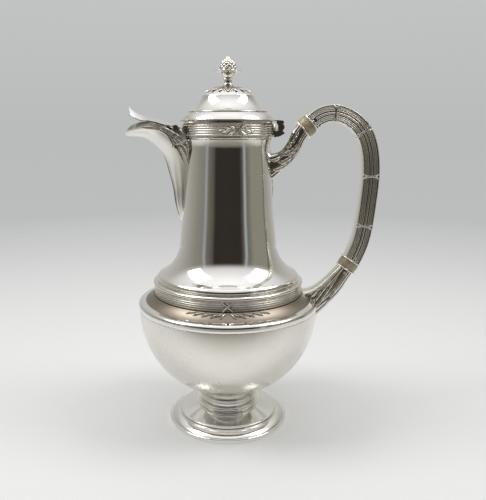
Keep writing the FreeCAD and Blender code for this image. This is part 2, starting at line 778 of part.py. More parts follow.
grip_path = [
    upper_centre + upper_axis * joint_face,
    Vector(66.0, 0, 229.6),
    Vector(75.5, 0, 231.2),
    Vector(86.5, 0, 227.4),
    Vector(95.9, 0, 218.4),
    Vector(101.3, 0, 203.5),
    Vector(102.6, 0, 187.0),
    Vector(101.5, 0, 169.0),
    Vector(99.6, 0, 151.0),
    Vector(96.6, 0, 137.0),
    lower_centre - lower_axis * joint_face,
]
centre_curve = Part.BSplineCurve()
centre_curve.interpolate(grip_path)


def grip_direction(index):
    """The unit direction of the centre line where it passes a point of the path."""
    if index == 0:
        return upper_axis
    if index == len(grip_path) - 1:
        return lower_axis
    place = centre_curve.getKnots()[index]
    return (centre_curve.value(place + 0.5) - centre_curve.value(place - 0.5)).normalize()


def beside(distance):
    """A smooth edge at a distance outside the grip's centre line, or inside it where the distance is negative."""
    points = []
    for index, point in enumerate(grip_path):
        along = grip_direction(index)
        points.append(point + Vector(-along.z, 0, along.x) * distance)
    return smooth(points), points[0], points[-1]


half_width = number("grip_width") / 2
half_depth = number("grip_depth") / 2
outer_edge, outer_start, outer_end = beside(half_width)
inner_edge, inner_start, inner_end = beside(-half_width)
grip_outline = Part.Wire([
    outer_edge, Part.makeLine(outer_end, inner_end), inner_edge, Part.makeLine(inner_start, outer_start)
])
grip_solid = Part.Face(grip_outline).extrude(Vector(0, number("grip_depth"), 0))
grip_solid.translate(Vector(0, -half_depth, 0))
grip_blank = fixed_shape("grip_blank", grip_solid)
grip = keep(cut("handle_grip", grip_blank, [insulators["upper"], insulators["lower"], rivets]))


def socket_solid(upper_line, lower_line):
    """A solid as deep as the grip between an upper and a lower outline, each smooth from the ring to the pot."""
    upper_points = [Vector(x, -half_depth, z) for x, z in upper_line]
    lower_points = [Vector(x, -half_depth, z) for x, z in lower_line]
    outline = Part.Wire([
        smooth(upper_points),
        Part.makeLine(upper_points[-1], lower_points[-1]),
        smooth(lower_points),
        Part.makeLine(lower_points[0], upper_points[0]),
    ])
    return Part.Face(outline).extrude(Vector(0, number("grip_depth"), 0))


pot_core = turned("pot_core", [
    ("0", "bowl_level"),
    ("bowl_base_radius", "bowl_level"),
    ("bowl_radius", "bowl_top_level", "bowl_curve_radius", "left"),
    ("edge_radius", "edge_level - 1.6"),
    ("edge_radius", "edge_level"),
    ("edge_radius - 2.3", "shoulder_level - 0.4", "2.5", "left"),
    ("plinth_base_radius", "shoulder_level"),
    ("waist_radius + 0.9", "waist_level", "16.0", "right"),
    ("waist_radius + 0.9", "neck_level"),
    ("0", "neck_level"),
])
upper_blank = fixed_shape("upper_socket_blank", socket_solid(
    [(48.7, 224.6), (46.0, 219.9), (43.4, 214.2), (40.8, 209.2), (38.0, 205.8), (34.5, 203.9), (29.0, 203.4)],
    [(57.3, 214.6), (54.2, 210.4), (51.6, 205.2), (48.3, 200.0), (44.6, 196.0), (39.8, 191.4), (29.0, 182.0)],
))
upper_end = fixed_shape("upper_socket_end", Part.makeBox(40, 40, 40, Vector(-20, -20, -ring_face - 0.9)))
upper_end.Placement = FreeCAD.Placement(upper_centre, FreeCAD.Rotation(Vector(0, 0, 1), upper_axis))
upper_socket = keep(cut("upper_socket", upper_blank, [upper_end, insulators["upper"], rivets, body_core]))
lower_blank = fixed_shape("lower_socket_blank", socket_solid(
    [(81.9, 121.8), (76.8, 115.2), (70.9, 109.2), (65.0, 104.8), (59.7, 102.6), (50.0, 101.6)],
    [(93.1, 114.8), (90.0, 110.5), (86.6, 105.0), (82.3, 98.8), (77.2, 93.2), (71.5, 87.2), (58.0, 74.0)],
))
lower_end = fixed_shape("lower_socket_end", Part.makeBox(40, 40, 40, Vector(-20, -20, ring_face + 0.9 - 40)))
lower_end.Placement = FreeCAD.Placement(lower_centre, FreeCAD.Rotation(Vector(0, 0, 1), lower_axis))
lower_socket = keep(cut("lower_socket", lower_blank, [lower_end, insulators["lower"], rivets, pot_core]))

# Thin leaves under the sockets, laid on the neck and on the bowl.
neck_grown = doc.addObject("Part::Cone", "neck_grown")
neck_grown.Radius1 = 33.9
neck_grown.Radius2 = 31.9
neck_grown.Height = 43.0
neck_grown.Placement.Base = Vector(0, 0, 165.0)
pot_grown = turned("pot_grown", [
    ("0", "bowl_level"),
    ("bowl_base_radius + 1.0", "bowl_level"),
    ("bowl_radius + 1.0", "bowl_top_level", "bowl_curve_radius + 1.0", "left"),
    ("edge_radius + 1.0", "edge_level"),
    ("edge_radius - 1.6", "shoulder_level + 0.6", "3.4", "left"),
    ("plinth_base_radius + 0.7", "shoulder_level + 1.0"),
    ("waist_radius + 1.7", "waist_level", "16.0", "right"),
    ("0", "waist_level"),
])


def leaf_zone(label, outline):
    """A prism along +X whose outline is given as half widths and heights, from the top to the point."""
    points = [Vector(20, y, z) for y, z in outline]
    points += [Vector(20, -y, z) for y, z in reversed(outline) if y > 0]
    points.append(points[0])
    return fixed_shape(label, Part.Face(Part.makePolygon(points)).extrude(Vector(60, 0, 0)))


upper_outline = [(7.6, 203.0), (8.6, 194.0), (8.2, 184.0), (6.6, 179.0), (2.6, 175.0), (0.0, 170.0)]
upper_zone = leaf_zone("upper_leaf_zone", upper_outline)
upper_leaf = shared("upper_leaf_blank", [neck_grown, upper_zone])
keep(cut("upper_socket_leaf", upper_leaf, [body_core, upper_socket]))
lower_outline = [(8.4, 99.0), (9.6, 92.0), (9.0, 82.0), (7.6, 76.0), (3.6, 71.0), (0.0, 64.0)]
lower_zone = leaf_zone("lower_leaf_zone", lower_outline)
lower_leaf = shared("lower_leaf_blank", [pot_grown, lower_zone])
keep(cut("lower_socket_leaf", lower_leaf, [pot_core, lower_socket]))

# Crossed ties round the grip.
for count, index in enumerate((2, 4, 6, 8), start=1):
    point = grip_path[index]
    along = grip_direction(index)
    band = Part.makeBox(number("grip_width") + 1.0, number("grip_depth") + 1.2, 2.6)
    band.translate(Vector(-half_width - 0.5, -half_depth - 0.6, -1.3))
    turn = FreeCAD.Rotation(Vector(0, 0, 1), along)
    band = band.transformGeometry(FreeCAD.Placement(point, turn).toMatrix())
    blank = fixed_shape(f"tie_blank_{count}", band)
    keep(cut(f"grip_tie_{count}", blank, [grip_blank]))


def laid_on(label, low_level, high_level, inner, outer, azimuth, half_angle, base):
    """A curved plate round the Z axis, cut to lie on its base."""
    corners = [Vector(inner, 0, low_level), Vector(outer, 0, low_level), Vector(outer, 0, high_level)]
    corners += [Vector(inner, 0, high_level), corners[0]]
    plate = Part.Face(Part.makePolygon(corners))
    plate.rotate(Vector(0, 0, 0), Vector(0, 0, 1), azimuth - half_angle)
    plate = plate.revolve(Vector(0, 0, 0), Vector(0, 0, 1), 2 * half_angle)
    return keep(cut(label, fixed_shape(label + "_blank", plate), [base]))


# Ribbons tied over the reeds of the collar and of the waist, on the front and on the back.
for side, name in ((-1, "front"), (1, "back")):
    laid_on(f"collar_ribbon_{name}", 216.0, 222.8, 32.6, 33.9, side * 78.5, 22.0, collar)
    laid_on(f"waist_ribbon_{name}", 101.7, 111.1, 55.2, 56.5, side * 90.0, 6.0, waist_band)

doc.recompute()
for item in doc.Objects:
    if "Invalid" in item.State or "Error" in item.State:
        raise RuntimeError(f"{item.Label} failed: {item.State}")
for piece in nodes:
    if piece.Shape.isNull() or not piece.Shape.isValid():
        raise RuntimeError(f"{piece.Label} has no valid shape")
for piece in nodes:
    piece.Shape.exportStep(f"parts/{piece.Label}.step")
    print(piece.Label, len(piece.Shape.Solids), round(piece.Shape.Volume, 1))
print("pieces", len(nodes))
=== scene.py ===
import math

import bmesh
import bpy
import numpy as np
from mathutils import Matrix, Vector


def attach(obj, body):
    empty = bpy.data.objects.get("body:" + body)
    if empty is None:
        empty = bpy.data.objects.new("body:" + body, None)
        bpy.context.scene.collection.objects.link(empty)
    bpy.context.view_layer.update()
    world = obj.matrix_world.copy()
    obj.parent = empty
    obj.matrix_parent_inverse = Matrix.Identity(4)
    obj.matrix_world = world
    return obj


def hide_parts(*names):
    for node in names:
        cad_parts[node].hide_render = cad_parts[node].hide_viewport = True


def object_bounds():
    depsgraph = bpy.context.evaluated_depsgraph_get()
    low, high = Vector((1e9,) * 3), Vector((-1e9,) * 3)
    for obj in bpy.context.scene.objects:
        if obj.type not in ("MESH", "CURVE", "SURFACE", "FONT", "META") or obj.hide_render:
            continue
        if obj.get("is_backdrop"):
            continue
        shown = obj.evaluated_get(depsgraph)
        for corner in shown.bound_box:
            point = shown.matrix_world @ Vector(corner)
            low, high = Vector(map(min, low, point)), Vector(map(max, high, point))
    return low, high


# Silver coffee pot: reeded bands, chased leaves, a leaf-shaped spout cover, a handle held by ivory rings.
# Every length below is in millimetres unless it says otherwise; meshes are made in metres.

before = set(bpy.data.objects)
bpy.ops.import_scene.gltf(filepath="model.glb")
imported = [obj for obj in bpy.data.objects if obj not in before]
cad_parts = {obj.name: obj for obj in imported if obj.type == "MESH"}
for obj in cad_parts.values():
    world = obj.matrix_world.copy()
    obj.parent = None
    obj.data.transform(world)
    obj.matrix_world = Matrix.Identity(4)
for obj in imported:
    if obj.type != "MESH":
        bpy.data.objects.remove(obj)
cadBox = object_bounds()
millimetre = 0.001
turnSegments = 224
print("frame loaded:", len(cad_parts), "nodes")


# Small geometry tools

def spline(points, count, spread=None):
    # Natural cubic through the points, by chord length: solves the second slopes M, then
    # y = (M0 (b-x)^3 + M1 (x-a)^3) / 6h + (y0/h - M0 h/6)(b-x) + (y1/h - M1 h/6)(x-a).
    y = np.asarray(points, float)
    chord = np.linalg.norm(np.diff(y, axis=0), axis=1)
    x = np.concatenate([[0], np.cumsum(chord)])
    size = len(x)
    matrix = np.eye(size)
    right = np.zeros_like(y)
    inner = np.arange(1, size - 1)
    matrix[inner, inner - 1] = chord[:-1]
    matrix[inner, inner] = 2 * (chord[:-1] + chord[1:])
    matrix[inner, inner + 1] = chord[1:]
    right[inner] = 6 * ((y[2:] - y[1:-1]) / chord[1:, None] - (y[1:-1] - y[:-2]) / chord[:-1, None])
    bend = np.linalg.solve(matrix, right)
    where = (np.linspace(0, 1, count) if spread is None else np.asarray(spread, float)) * x[-1]
    part = np.clip(np.searchsorted(x, where, side="right") - 1, 0, size - 2)
    h = chord[part][:, None]
    before = (where - x[part])[:, None]
    after = h - before
    return ((bend[part] * after ** 3 + bend[part + 1] * before ** 3) / (6 * h)
            + (y[part] / h - bend[part] * h / 6) * after
            + (y[part + 1] / h - bend[part + 1] * h / 6) * before)


def unit(vectors):
    # Each vector over its own length.
    return vectors / np.maximum(np.linalg.norm(vectors, axis=-1, keepdims=True), 1e-12)


def smoothStep(x, low, high):
    # 3t^2 - 2t^3 with t running from 0 at low to 1 at high.
    t = np.clip((x - low) / (high - low), 0, 1)
    return t * t * (3 - 2 * t)


def gridNormals(points):
    # Unit normals of a grid of points: the cross product of its two central differences.
    return unit(np.cross(np.gradient(points, axis=0), np.gradient(points, axis=1)))


def straight(start, end, step):
    # Points from start to end, closer together near both ends: start + (end - start)(1 - cos(pi t)) / 2.
    count = max(3, int(np.linalg.norm(end - start) / step) + 2)
    return start + (end - start) * ((1 - np.cos(np.linspace(0, np.pi, count))) / 2)[:, None]


def bowed(start, end, radius, side, step):
    # Points of the arc of that radius whose centre is on the named side of the way from start to end.
    chord = end - start
    length = np.linalg.norm(chord)
    sign = 1 if side == "left" else -1
    left = np.array([-chord[1], chord[0]]) / length * sign
    centre = (start + end) / 2 + left * math.sqrt(radius ** 2 - length ** 2 / 4)
    first = math.atan2(start[1] - centre[1], start[0] - centre[0])
    sweep = 2 * math.asin(length / 2 / radius) * sign
    count = max(5, int(abs(sweep) * radius / step) + 2, int(abs(sweep) / 0.12) + 2)
    angle = first + sweep * (1 - np.cos(np.linspace(0, np.pi, count))) / 2
    return centre + radius * np.stack([np.cos(angle), np.sin(angle)], 1)


def trimmed(run, first, last):
    # The run without that much length at its start and at its end.
    length = np.concatenate([[0], np.cumsum(np.linalg.norm(np.diff(run, axis=0), axis=1))])
    inside = length[(length > first + 1e-6) & (length < length[-1] - last - 1e-6)]
    where = np.concatenate([[first], inside, [length[-1] - last]])
    return np.stack([np.interp(where, length, run[:, k]) for k in range(2)], 1)


def outline(corners, soften=0.3, step=0.8):
    # The closed profile through its corners: (x, y) ends a straight run, (x, y, radius, side) an arc.
    # Corners sharper than 20 degrees are rounded by the curve (1-t)^2 a + 2t(1-t) corner + t^2 b.
    # A run on the axis is left open, so that the turned surface closes in a pole.
    runs = []
    onAxis = -1
    for index, corner in enumerate(corners):
        start = np.array(corners[index - 1][:2], float)
        end = np.array(corner[:2], float)
        if start[0] < 1e-9 and end[0] < 1e-9:
            onAxis = index
            runs.append(np.stack([start, end]))
        elif len(corner) == 2:
            runs.append(straight(start, end, step))
        else:
            runs.append(bowed(start, end, corner[2], corner[3], step))
    count = len(runs)
    total = [np.linalg.norm(np.diff(run, axis=0), axis=1).sum() for run in runs]
    cuts = np.zeros((count, 2))
    for index in range(count):
        following = (index + 1) % count
        if onAxis in (index, following):
            continue
        into = unit(runs[index][-1] - runs[index][-2])
        out = unit(runs[following][1] - runs[following][0])
        if into @ out < math.cos(math.radians(20)):
            cuts[index, 1] = cuts[following, 0] = min(soften, 0.38 * total[index], 0.38 * total[following])
    pieces = []
    t = np.linspace(0, 1, 6)[1:-1, None]
    order = [(onAxis + 1 + k) % count for k in range(count)] if onAxis >= 0 else list(range(count))
    for index in order:
        if index == onAxis:
            continue
        run = trimmed(runs[index], *cuts[index])
        pieces.append(run)
        following = (index + 1) % count
        if cuts[index, 1] > 0:
            corner = runs[index][-1]
            target = trimmed(runs[following], *cuts[following])[0]
            pieces.append((1 - t) ** 2 * run[-1] + 2 * t * (1 - t) * corner + t ** 2 * target)
    joined = np.concatenate(pieces)
    keep = np.linalg.norm(joined - np.roll(joined, 1, 0), axis=1) > 1e-4
    keep[0] = True
    return joined[keep], onAxis < 0


# Mesh making

def quadsOf(rows, columns, wrapRows=False, start=0):
    # The four corners of each face of a grid whose points are numbered row by row and whose columns close.
    index = np.arange(rows * columns).reshape(rows, columns) + start
    if wrapRows:
        index = np.concatenate([index, index[:1]], 0)
    index = np.concatenate([index, index[:, :1]], 1)
    return np.stack([index[:-1, :-1], index[:-1, 1:], index[1:, 1:], index[1:, :-1]], -1).reshape(-1, 4)


def newMesh(name, flat, quads, recess):
    # A mesh from points in metres and rows of four corners, with how deep each point lies as an attribute;
    # doubles are merged, so that poles close.
    mesh = bpy.data.meshes.new(name)
    mesh.vertices.add(len(flat))
    mesh.vertices.foreach_set("co", flat.astype(np.float32).ravel())
    mesh.loops.add(quads.size)
    mesh.loops.foreach_set("vertex_index", quads.astype(np.int32).ravel())
    mesh.polygons.add(len(quads))
    mesh.polygons.foreach_set("loop_start", (np.arange(len(quads)) * 4).astype(np.int32))
    mesh.update(calc_edges=True)
    attribute = mesh.attributes.new("recess", "FLOAT", "POINT")
    attribute.data.foreach_set("value", np.clip(recess, 0, 1).astype(np.float32))
    shape = bmesh.new()
    shape.from_mesh(mesh)
    bmesh.ops.remove_doubles(shape, verts=shape.verts, dist=2e-6)
    shape.to_mesh(mesh)
    shape.free()
    return mesh


def addMesh(name, points, quads, body, material, stands=(), recess=None, sharp=38):
    # A closed piece from points in millimetres. Its faces are turned outwards by the sign of its volume,
    # which is the sum of a . (b x c) over its triangles.
    flat = points * millimetre
    corner = flat[quads]
    crossed = np.cross(corner[:, 1], corner[:, 2]) + np.cross(corner[:, 2], corner[:, 3])
    if (corner[:, 0] * crossed).sum() < 0:
        quads = quads[:, ::-1]
    mesh = newMesh(name, flat, quads, np.zeros(len(flat)) if recess is None else recess)
    mesh.polygons.foreach_set("use_smooth", np.ones(len(mesh.polygons), bool))
    mesh.set_sharp_from_angle(angle=math.radians(sharp))
    mesh.materials.append(material)
    piece = bpy.data.objects.new(name, mesh)
    bpy.context.scene.collection.objects.link(piece)
    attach(piece, body)
    if stands:
        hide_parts(*stands)
    return piece


def addPiece(name, points, body, material, stands=(), wrapRows=False, recess=None, sharp=38):
    # A piece from one grid of points whose columns run round it.
    quads = quadsOf(*points.shape[:2], wrapRows)
    return addMesh(name, points.reshape(-1, 3), quads, body, material, stands,
                   None if recess is None else recess.reshape(-1), sharp)


def turned(name, corners, body, material, stands, relief=None, soften=0.3, step=0.8):
    # A surface of revolution: ((r + h nr) cos a, (r + h nr) sin a, z + h nz), where n is the profile's
    # outward normal and h = relief(r, z, a) a height that comes with how deep each point lies.
    profile, wrap = outline(corners, soften, step)
    angle = np.linspace(0, 2 * np.pi, turnSegments, endpoint=False)
    r, z = profile[:, 0][:, None], profile[:, 1][:, None]
    height, recess = np.zeros((len(profile), turnSegments)), None
    if relief is not None:
        height, recess = relief(r, z, angle[None, :])
    along = np.roll(profile, -1, 0) - np.roll(profile, 1, 0)
    if not wrap:
        along = np.gradient(profile, axis=0)
    area = (profile[:, 0] * np.roll(profile[:, 1], -1) - np.roll(profile[:, 0], -1) * profile[:, 1]).sum()
    normal = unit(np.stack([along[:, 1], -along[:, 0]], 1)) * (1 if area > 0 else -1)
    radius = r + height * normal[:, :1]
    level = z + height * normal[:, 1:]
    points = np.stack([radius * np.cos(angle), radius * np.sin(angle), level + 0 * angle], -1)
    return addPiece(name, points, body, material, stands=stands, wrapRows=wrap, recess=recess)


def shell(outer, inner):
    # A closed skin round two grids of the same size: across one, back across the other, folded at both ends.
    ring = np.concatenate([outer, inner[:, ::-1]], 1)
    fold = (outer + inner) / 2
    fold = np.concatenate([fold, fold[:, ::-1]], 1)
    return np.concatenate([fold[:1], ring, fold[-1:]], 0)


def skinned(top, under, deep):
    # The closed skin round two grids, and how deep its points lie: deep on both, nothing at the folded ends.
    return shell(top, under), np.pad(np.concatenate([deep, deep[:, ::-1]], 1), ((1, 1), (0, 0)))


def merge(parts, wrapRows=False):
    # Several grids' points and faces as one list of points and one of quads.
    starts = np.cumsum([0] + [deep.size for _, deep in parts])
    quads = [quadsOf(*deep.shape, wrapRows, start) for (_, deep), start in zip(parts, starts)]
    points = np.concatenate([grid.reshape(-1, 3) for grid, _ in parts])
    return points, np.concatenate(quads), np.concatenate([deep.ravel() for _, deep in parts])


def leaf(base, spine, width, crown=0.7, groove=0.3, veins=0.12, veinCount=7, lift=0.0, sink=0.4, rows=26,
         columns=13):
    # A leaf laid on base(u, v). Its middle line is a spline through the spine's (u, v), its half width
    # width sin(pi s^0.8)^0.8, its height crown (1 - t^2) sin(pi s)^0.5 less a groove along the middle
    # and veins that slope from it; lift raises the tip by lift s^3.
    s = np.linspace(0, 1, rows)
    line = spline(spine, rows)
    side = unit(np.stack([-np.gradient(line[:, 1]), np.gradient(line[:, 0])], 1))
    t = np.linspace(-1, 1, columns)[None, :]
    half = (width * np.sin(np.pi * s ** 0.8) ** 0.8)[:, None]
    ends = (np.sin(np.pi * s) ** 0.5)[:, None]
    middle = np.exp(-(t / 0.16) ** 2)
    vein = 0.5 - 0.5 * np.cos(2 * np.pi * (veinCount * s[:, None] - 1.4 * np.abs(t)))
    height = (crown * (1 - t ** 2) - groove * middle - veins * vein * (1 - middle)) * ends
    height = height + lift * s[:, None] ** 3
    deep = 0.9 * middle + 0.5 * vein * (1 - np.abs(t)) + smoothStep(np.abs(t), 0.7, 1.0) * 0.6
    place, normal = base(line[:, :1] + side[:, :1] * half * t, line[:, 1:] + side[:, 1:] * half * t)
    top = place + normal * height[..., None]
    under = place - normal * (sink * ends)[..., None] + normal * (lift * s ** 3)[:, None, None] * 0.8
    top[[0, -1]] = under[[0, -1]] = (top[[0, -1]] + under[[0, -1]]) / 2
    return skinned(top, under, np.clip(deep, 0, 1))


def strip(base, spine, half, height, rows=40, columns=9, sink=0.3):
    # A ribbon laid on base(u, v) along a spline: a low vault height (1 - t^4) with a groove near each edge.
    line = spline(spine, rows)
    side = unit(np.stack([-np.gradient(line[:, 1]), np.gradient(line[:, 0])], 1))
    t = np.linspace(-1, 1, columns)[None, :]
    place, normal = base(line[:, :1] + side[:, :1] * half * t, line[:, 1:] + side[:, 1:] * half * t)
    vault = height * (1 - t ** 4) - 0.25 * height * np.exp(-((np.abs(t) - 0.55) / 0.15) ** 2)
    top = place + normal * (vault + 0 * line[:, :1])[..., None]
    return skinned(top, place - normal * sink, smoothStep(np.abs(t), 0.6, 1.0) + 0 * line[:, :1])


def onTurned(radiusAt, azimuth):
    # A base for leaves: u is the level, v the way round in millimetres from the azimuth in degrees.
    def base(u, v):
        r = radiusAt(u)
        slope = (radiusAt(u + 0.05) - radiusAt(u - 0.05)) / 0.1
        angle = math.radians(azimuth) + v / np.maximum(r, 1.0)
        place = np.stack([r * np.cos(angle), r * np.sin(angle), u + 0 * angle], -1)
        normal = unit(np.stack([np.cos(angle), np.sin(angle), -slope + 0 * angle], -1))
        return place, normal
    return base


# Finishes

def feed(tree, target, inputs):
    # Sets a node's inputs, each from a socket or from a plain value.
    for key, value in inputs.items():
        if isinstance(value, bpy.types.NodeSocket):
            tree.links.new(value, target.inputs[key])
        else:
            target.inputs[key].default_value = value


def node(tree, kind, inputs, out=0, **settings):
    # Adds a shader node with its settings and inputs, and gives the output asked for.
    made = tree.nodes.new("ShaderNode" + kind)
    for key, value in settings.items():
        setattr(made, key, value)
    feed(tree, made, inputs)
    return made.outputs[out]


def maths(tree, operation, *values):
    # One sum on its values.
    return node(tree, "Math", dict(enumerate(values)), operation=operation)


def noise(tree, place, scale, detail, roughness, stretch=(1, 1, 1)):
    # A noise value in 0 to 1 at that scale, stretched by the factors.
    stretched = node(tree, "Mapping", {"Vector": place, "Scale": stretch})
    sizes = {"Scale": scale, "Detail": detail, "Roughness": roughness}
    return node(tree, "TexNoise", {"Vector": stretched, **sizes}, "Fac")


def ramp(tree, value, stops):
    # A colour ramp from (position, colour) pairs.
    colour = node(tree, "ValToRGB", {"Fac": value})
    elements = colour.node.color_ramp.elements
    while len(elements) < len(stops):
        elements.new(0.5)
    for element, (position, shade) in zip(elements, stops):
        element.position = position
        element.color = (*shade, 1.0)
    return colour


def blended(tree, factor, first, second, **settings):
    # A mix of two colours by the factor.
    inputs = {"Factor": factor, "A": first, "B": second}
    return node(tree, "Mix", inputs, "Result", data_type="RGBA", **settings)


def grey(value):
    # The colour whose three parts are the value.
    return (value, value, value)


def surface(name):
    # A new material, its node tree and its shader.
    material = bpy.data.materials.new(name)
    material.use_nodes = True
    return material, material.node_tree, material.node_tree.nodes["Principled BSDF"]


def silver(name, tint, tarnishAndShade, rough, scratch, share):
    # Polished silver with patchy roughness, hairline scratches and a breath of tarnish. Where the recess
    # attribute says so it is darker, by share times the recess, and rougher by a quarter of that; the recess
    # carries patina in hollows and, on the waist's lower reeds and under the lid's edge, painted shade.
    material, tree, shader = surface(name)
    place = node(tree, "TexCoord", {}, "Object")
    cloudy = noise(tree, place, 34.0, 4.0, 0.6)
    fine = noise(tree, place, 900.0, 2.0, 0.5)
    hair = noise(tree, place, 260.0, 5.0, 0.7, (1.0, 1.0, 9.0))
    deep = maths(tree, "MULTIPLY", node(tree, "Attribute", {}, "Fac", attribute_name="recess"), share)
    clean = ramp(tree, cloudy, [(0.3, tint), (0.75, tuple(0.955 * part for part in tint))])
    patchy = ramp(tree, cloudy, [(0.3, grey(rough[0])), (0.7, grey(rough[1]))])
    lines = maths(tree, "MULTIPLY_ADD", fine, 0.4, hair)
    feed(tree, shader, {
        "Metallic": 1.0,
        "Base Color": blended(tree, deep, clean, (*tarnishAndShade, 1.0)),
        "Roughness": maths(tree, "MULTIPLY_ADD", deep, 0.25, patchy),
        "Normal": node(tree, "Bump", {"Strength": scratch, "Distance": 0.0004, "Height": lines})})
    return material


def ivoryFinish():
    # Old ivory: creamy with long fine grain, a little translucent, worn to a soft gloss.
    material, tree, shader = surface("ivory")
    place = node(tree, "TexCoord", {}, "Object")
    grain = noise(tree, place, 420.0, 5.0, 0.6, (1.0, 0.25, 1.0))
    patch = noise(tree, place, 120.0, 3.0, 0.5)
    tone = ramp(tree, grain, [(0.35, (0.42, 0.36, 0.20)), (0.65, (0.56, 0.50, 0.33))])
    worn = ramp(tree, patch, [(0.3, (0.72, 0.66, 0.5)), (0.6, (1, 1, 1))])
    feed(tree, shader, {
        "Base Color": blended(tree, 0.5, tone, worn, blend_type="MULTIPLY"),
        "Roughness": ramp(tree, patch, [(0.3, grey(0.24)), (0.7, grey(0.36))]),
        "Subsurface Weight": 0.12,
        "Subsurface Scale": 0.002,
        "Coat Weight": 0.25,
        "Normal": node(tree, "Bump", {"Strength": 0.08, "Distance": 0.0003, "Height": grain})})
    return material


# The colour that the recess darkens silver towards: tarnish in hollows, and painted shade at the lid's seam.
brownTarnishAndShade = (0.30, 0.25, 0.19)
brightSilver = silver("bright_silver", (0.90, 0.885, 0.85), brownTarnishAndShade, (0.075, 0.13), 0.012, 0.75)
satinSilver = silver("satin_silver", (0.87, 0.85, 0.80), brownTarnishAndShade, (0.22, 0.30), 0.008, 0.75)
# Chased silver's dark colour also carries the painted shade at the foot of the waist's reeds.
chasedSilver = silver("chased_silver", (0.84, 0.81, 0.74), (0.16, 0.12, 0.08), (0.14, 0.22), 0.008, 0.9)
ivory = ivoryFinish()


def addSet(name, parts, body, stands=(), wrapRows=False):
    # One chased piece from several grids.
    points, quads, recess = merge(parts, wrapRows)
    addMesh(name, points, quads, body, chasedSilver, stands=stands, recess=recess)
print("finishes ready")

# Foot

turned("footRimWire", [(42.4, 0), (45.4, 0), (45.4, 2.3), (44.5, 3.2, 0.9, "left"), (42.4, 3.2)],
       "pot", brightSilver, ["foot_rim_wire"])
turned("footPlate", [(44.2, 3.2), (38.1, 6.4, 9.0, "left"), (37.2, 6.4), (37.2, 8.4), (36.4, 8.8),
                     (21.2, 12.4, 60.0, "right"), (21.2, 11.2), (36.0, 7.6), (36.0, 5.2), (37.8, 5.2),
                     (42.4, 3.2, 9.0, "right")], "pot", brightSilver, ["foot_plate"])
turned("footStem", [(21.2, 12.4), (21.2, 18.4), (21.6, 20.0), (21.3, 21.4), (24.2, 27.0, 9.0, "right"),
                    (22.8, 27.0), (20.2, 21.4), (20.0, 18.0), (20.0, 12.4)],
       "pot", brightSilver, ["foot_stem"])
turned("footKnopRing", [(21.2, 12.4), (22.6, 12.4), (22.9, 16.0, 2.1, "left"), (21.2, 16.3)],
       "pot", brightSilver, ["foot_knop_ring"])
turned("stemRing", [(21.0, 18.4), (21.9, 18.4), (21.9, 19.8, 0.8, "left"), (21.5, 20.1), (21.9, 20.4),
                    (21.9, 21.8, 0.8, "left"), (21.0, 21.8)], "pot", brightSilver, ["stem_ring"])
print("foot made")

# Bowl, shoulder and waist

turned("bowlShell", [(0, 27.0), (24.2, 27.0), (66.0, 90.5, 65.8, "left"), (64.8, 90.5),
                     (23.8, 28.2, 64.6, "right"), (0, 28.2)], "pot", satinSilver, ["bowl"], step=1.6)
turned("shoulderBand", [(66.0, 90.5), (66.8, 92.0), (66.8, 93.6), (64.5, 96.0, 2.5, "left"), (61.6, 96.4),
                        (60.4, 96.4), (60.4, 95.2), (63.8, 94.6), (65.2, 93.2), (64.8, 90.5)],
       "pot", brightSilver, ["shoulder"])


def dulled(r, z, angle):
    # An even breath of patina over the whole piece.
    return 0 * z + 0 * angle, 0.92 + 0 * z + 0 * angle


turned("waistPlinth", [(60.4, 96.4), (61.6, 96.4), (55.9, 101.4, 16.0, "right"), (54.7, 101.4),
                       (59.8, 96.4, 16.0, "left")], "pot", chasedSilver, ["waist_plinth"], dulled)


def reeds(radius, level, pitch, bulge, count):
    # Corners of a column of half-round reeds; each arc's radius is (pitch^2/4 + bulge^2) / 2 bulge.
    bend = (pitch ** 2 / 4 + bulge ** 2) / (2 * bulge)
    return [(radius, level)] + [(radius, level + pitch * k, bend, "left") for k in range(1, count + 1)]


def reedRecess(sizes):
    # How deep a point lies between reeds: cos^8 of its place in the pitch, within the reeded levels.
    low, high = sizes["level"] - 0.2, sizes["level"] + sizes["pitch"] * sizes["count"] + 0.2

    def relief(r, z, angle):
        deep = np.cos(np.pi * (z - sizes["level"]) / sizes["pitch"]) ** 8 * ((z > low) & (z < high))
        return 0 * z + 0 * angle, deep + 0 * angle
    return relief


waist = {"radius": 54.3, "level": 101.4, "pitch": 1.46, "bulge": 0.6, "count": 5}


def waistShade(r, z, angle):
    # Painted shade that grows towards the foot of the reeds, and dark lines in the grooves between them
    # and under the top ridge.
    low = 1 - smoothStep(z, 102.0, 106.5)
    lines = np.cos(np.pi * (z - waist["level"]) / waist["pitch"]) ** 8 * (z < 109.2) * (r > 54)
    return 0 * z + 0 * angle, np.clip(0.55 * low * (r > 53) + 0.8 * lines, 0, 1) + 0 * angle


waistTop = [(54.7, 108.7), (54.7, 111.1, 1.35, "left"), (53.9, 111.4), (49.4, 111.4), (49.4, 110.2),
            (53.4, 110.2), (53.4, 101.4)]
turned("waistReeds", reeds(**waist) + waistTop, "pot", chasedSilver, ["waist_band"], waistShade,
       soften=0.12, step=0.35)
print("bowl and waist made")

# Neck and collar

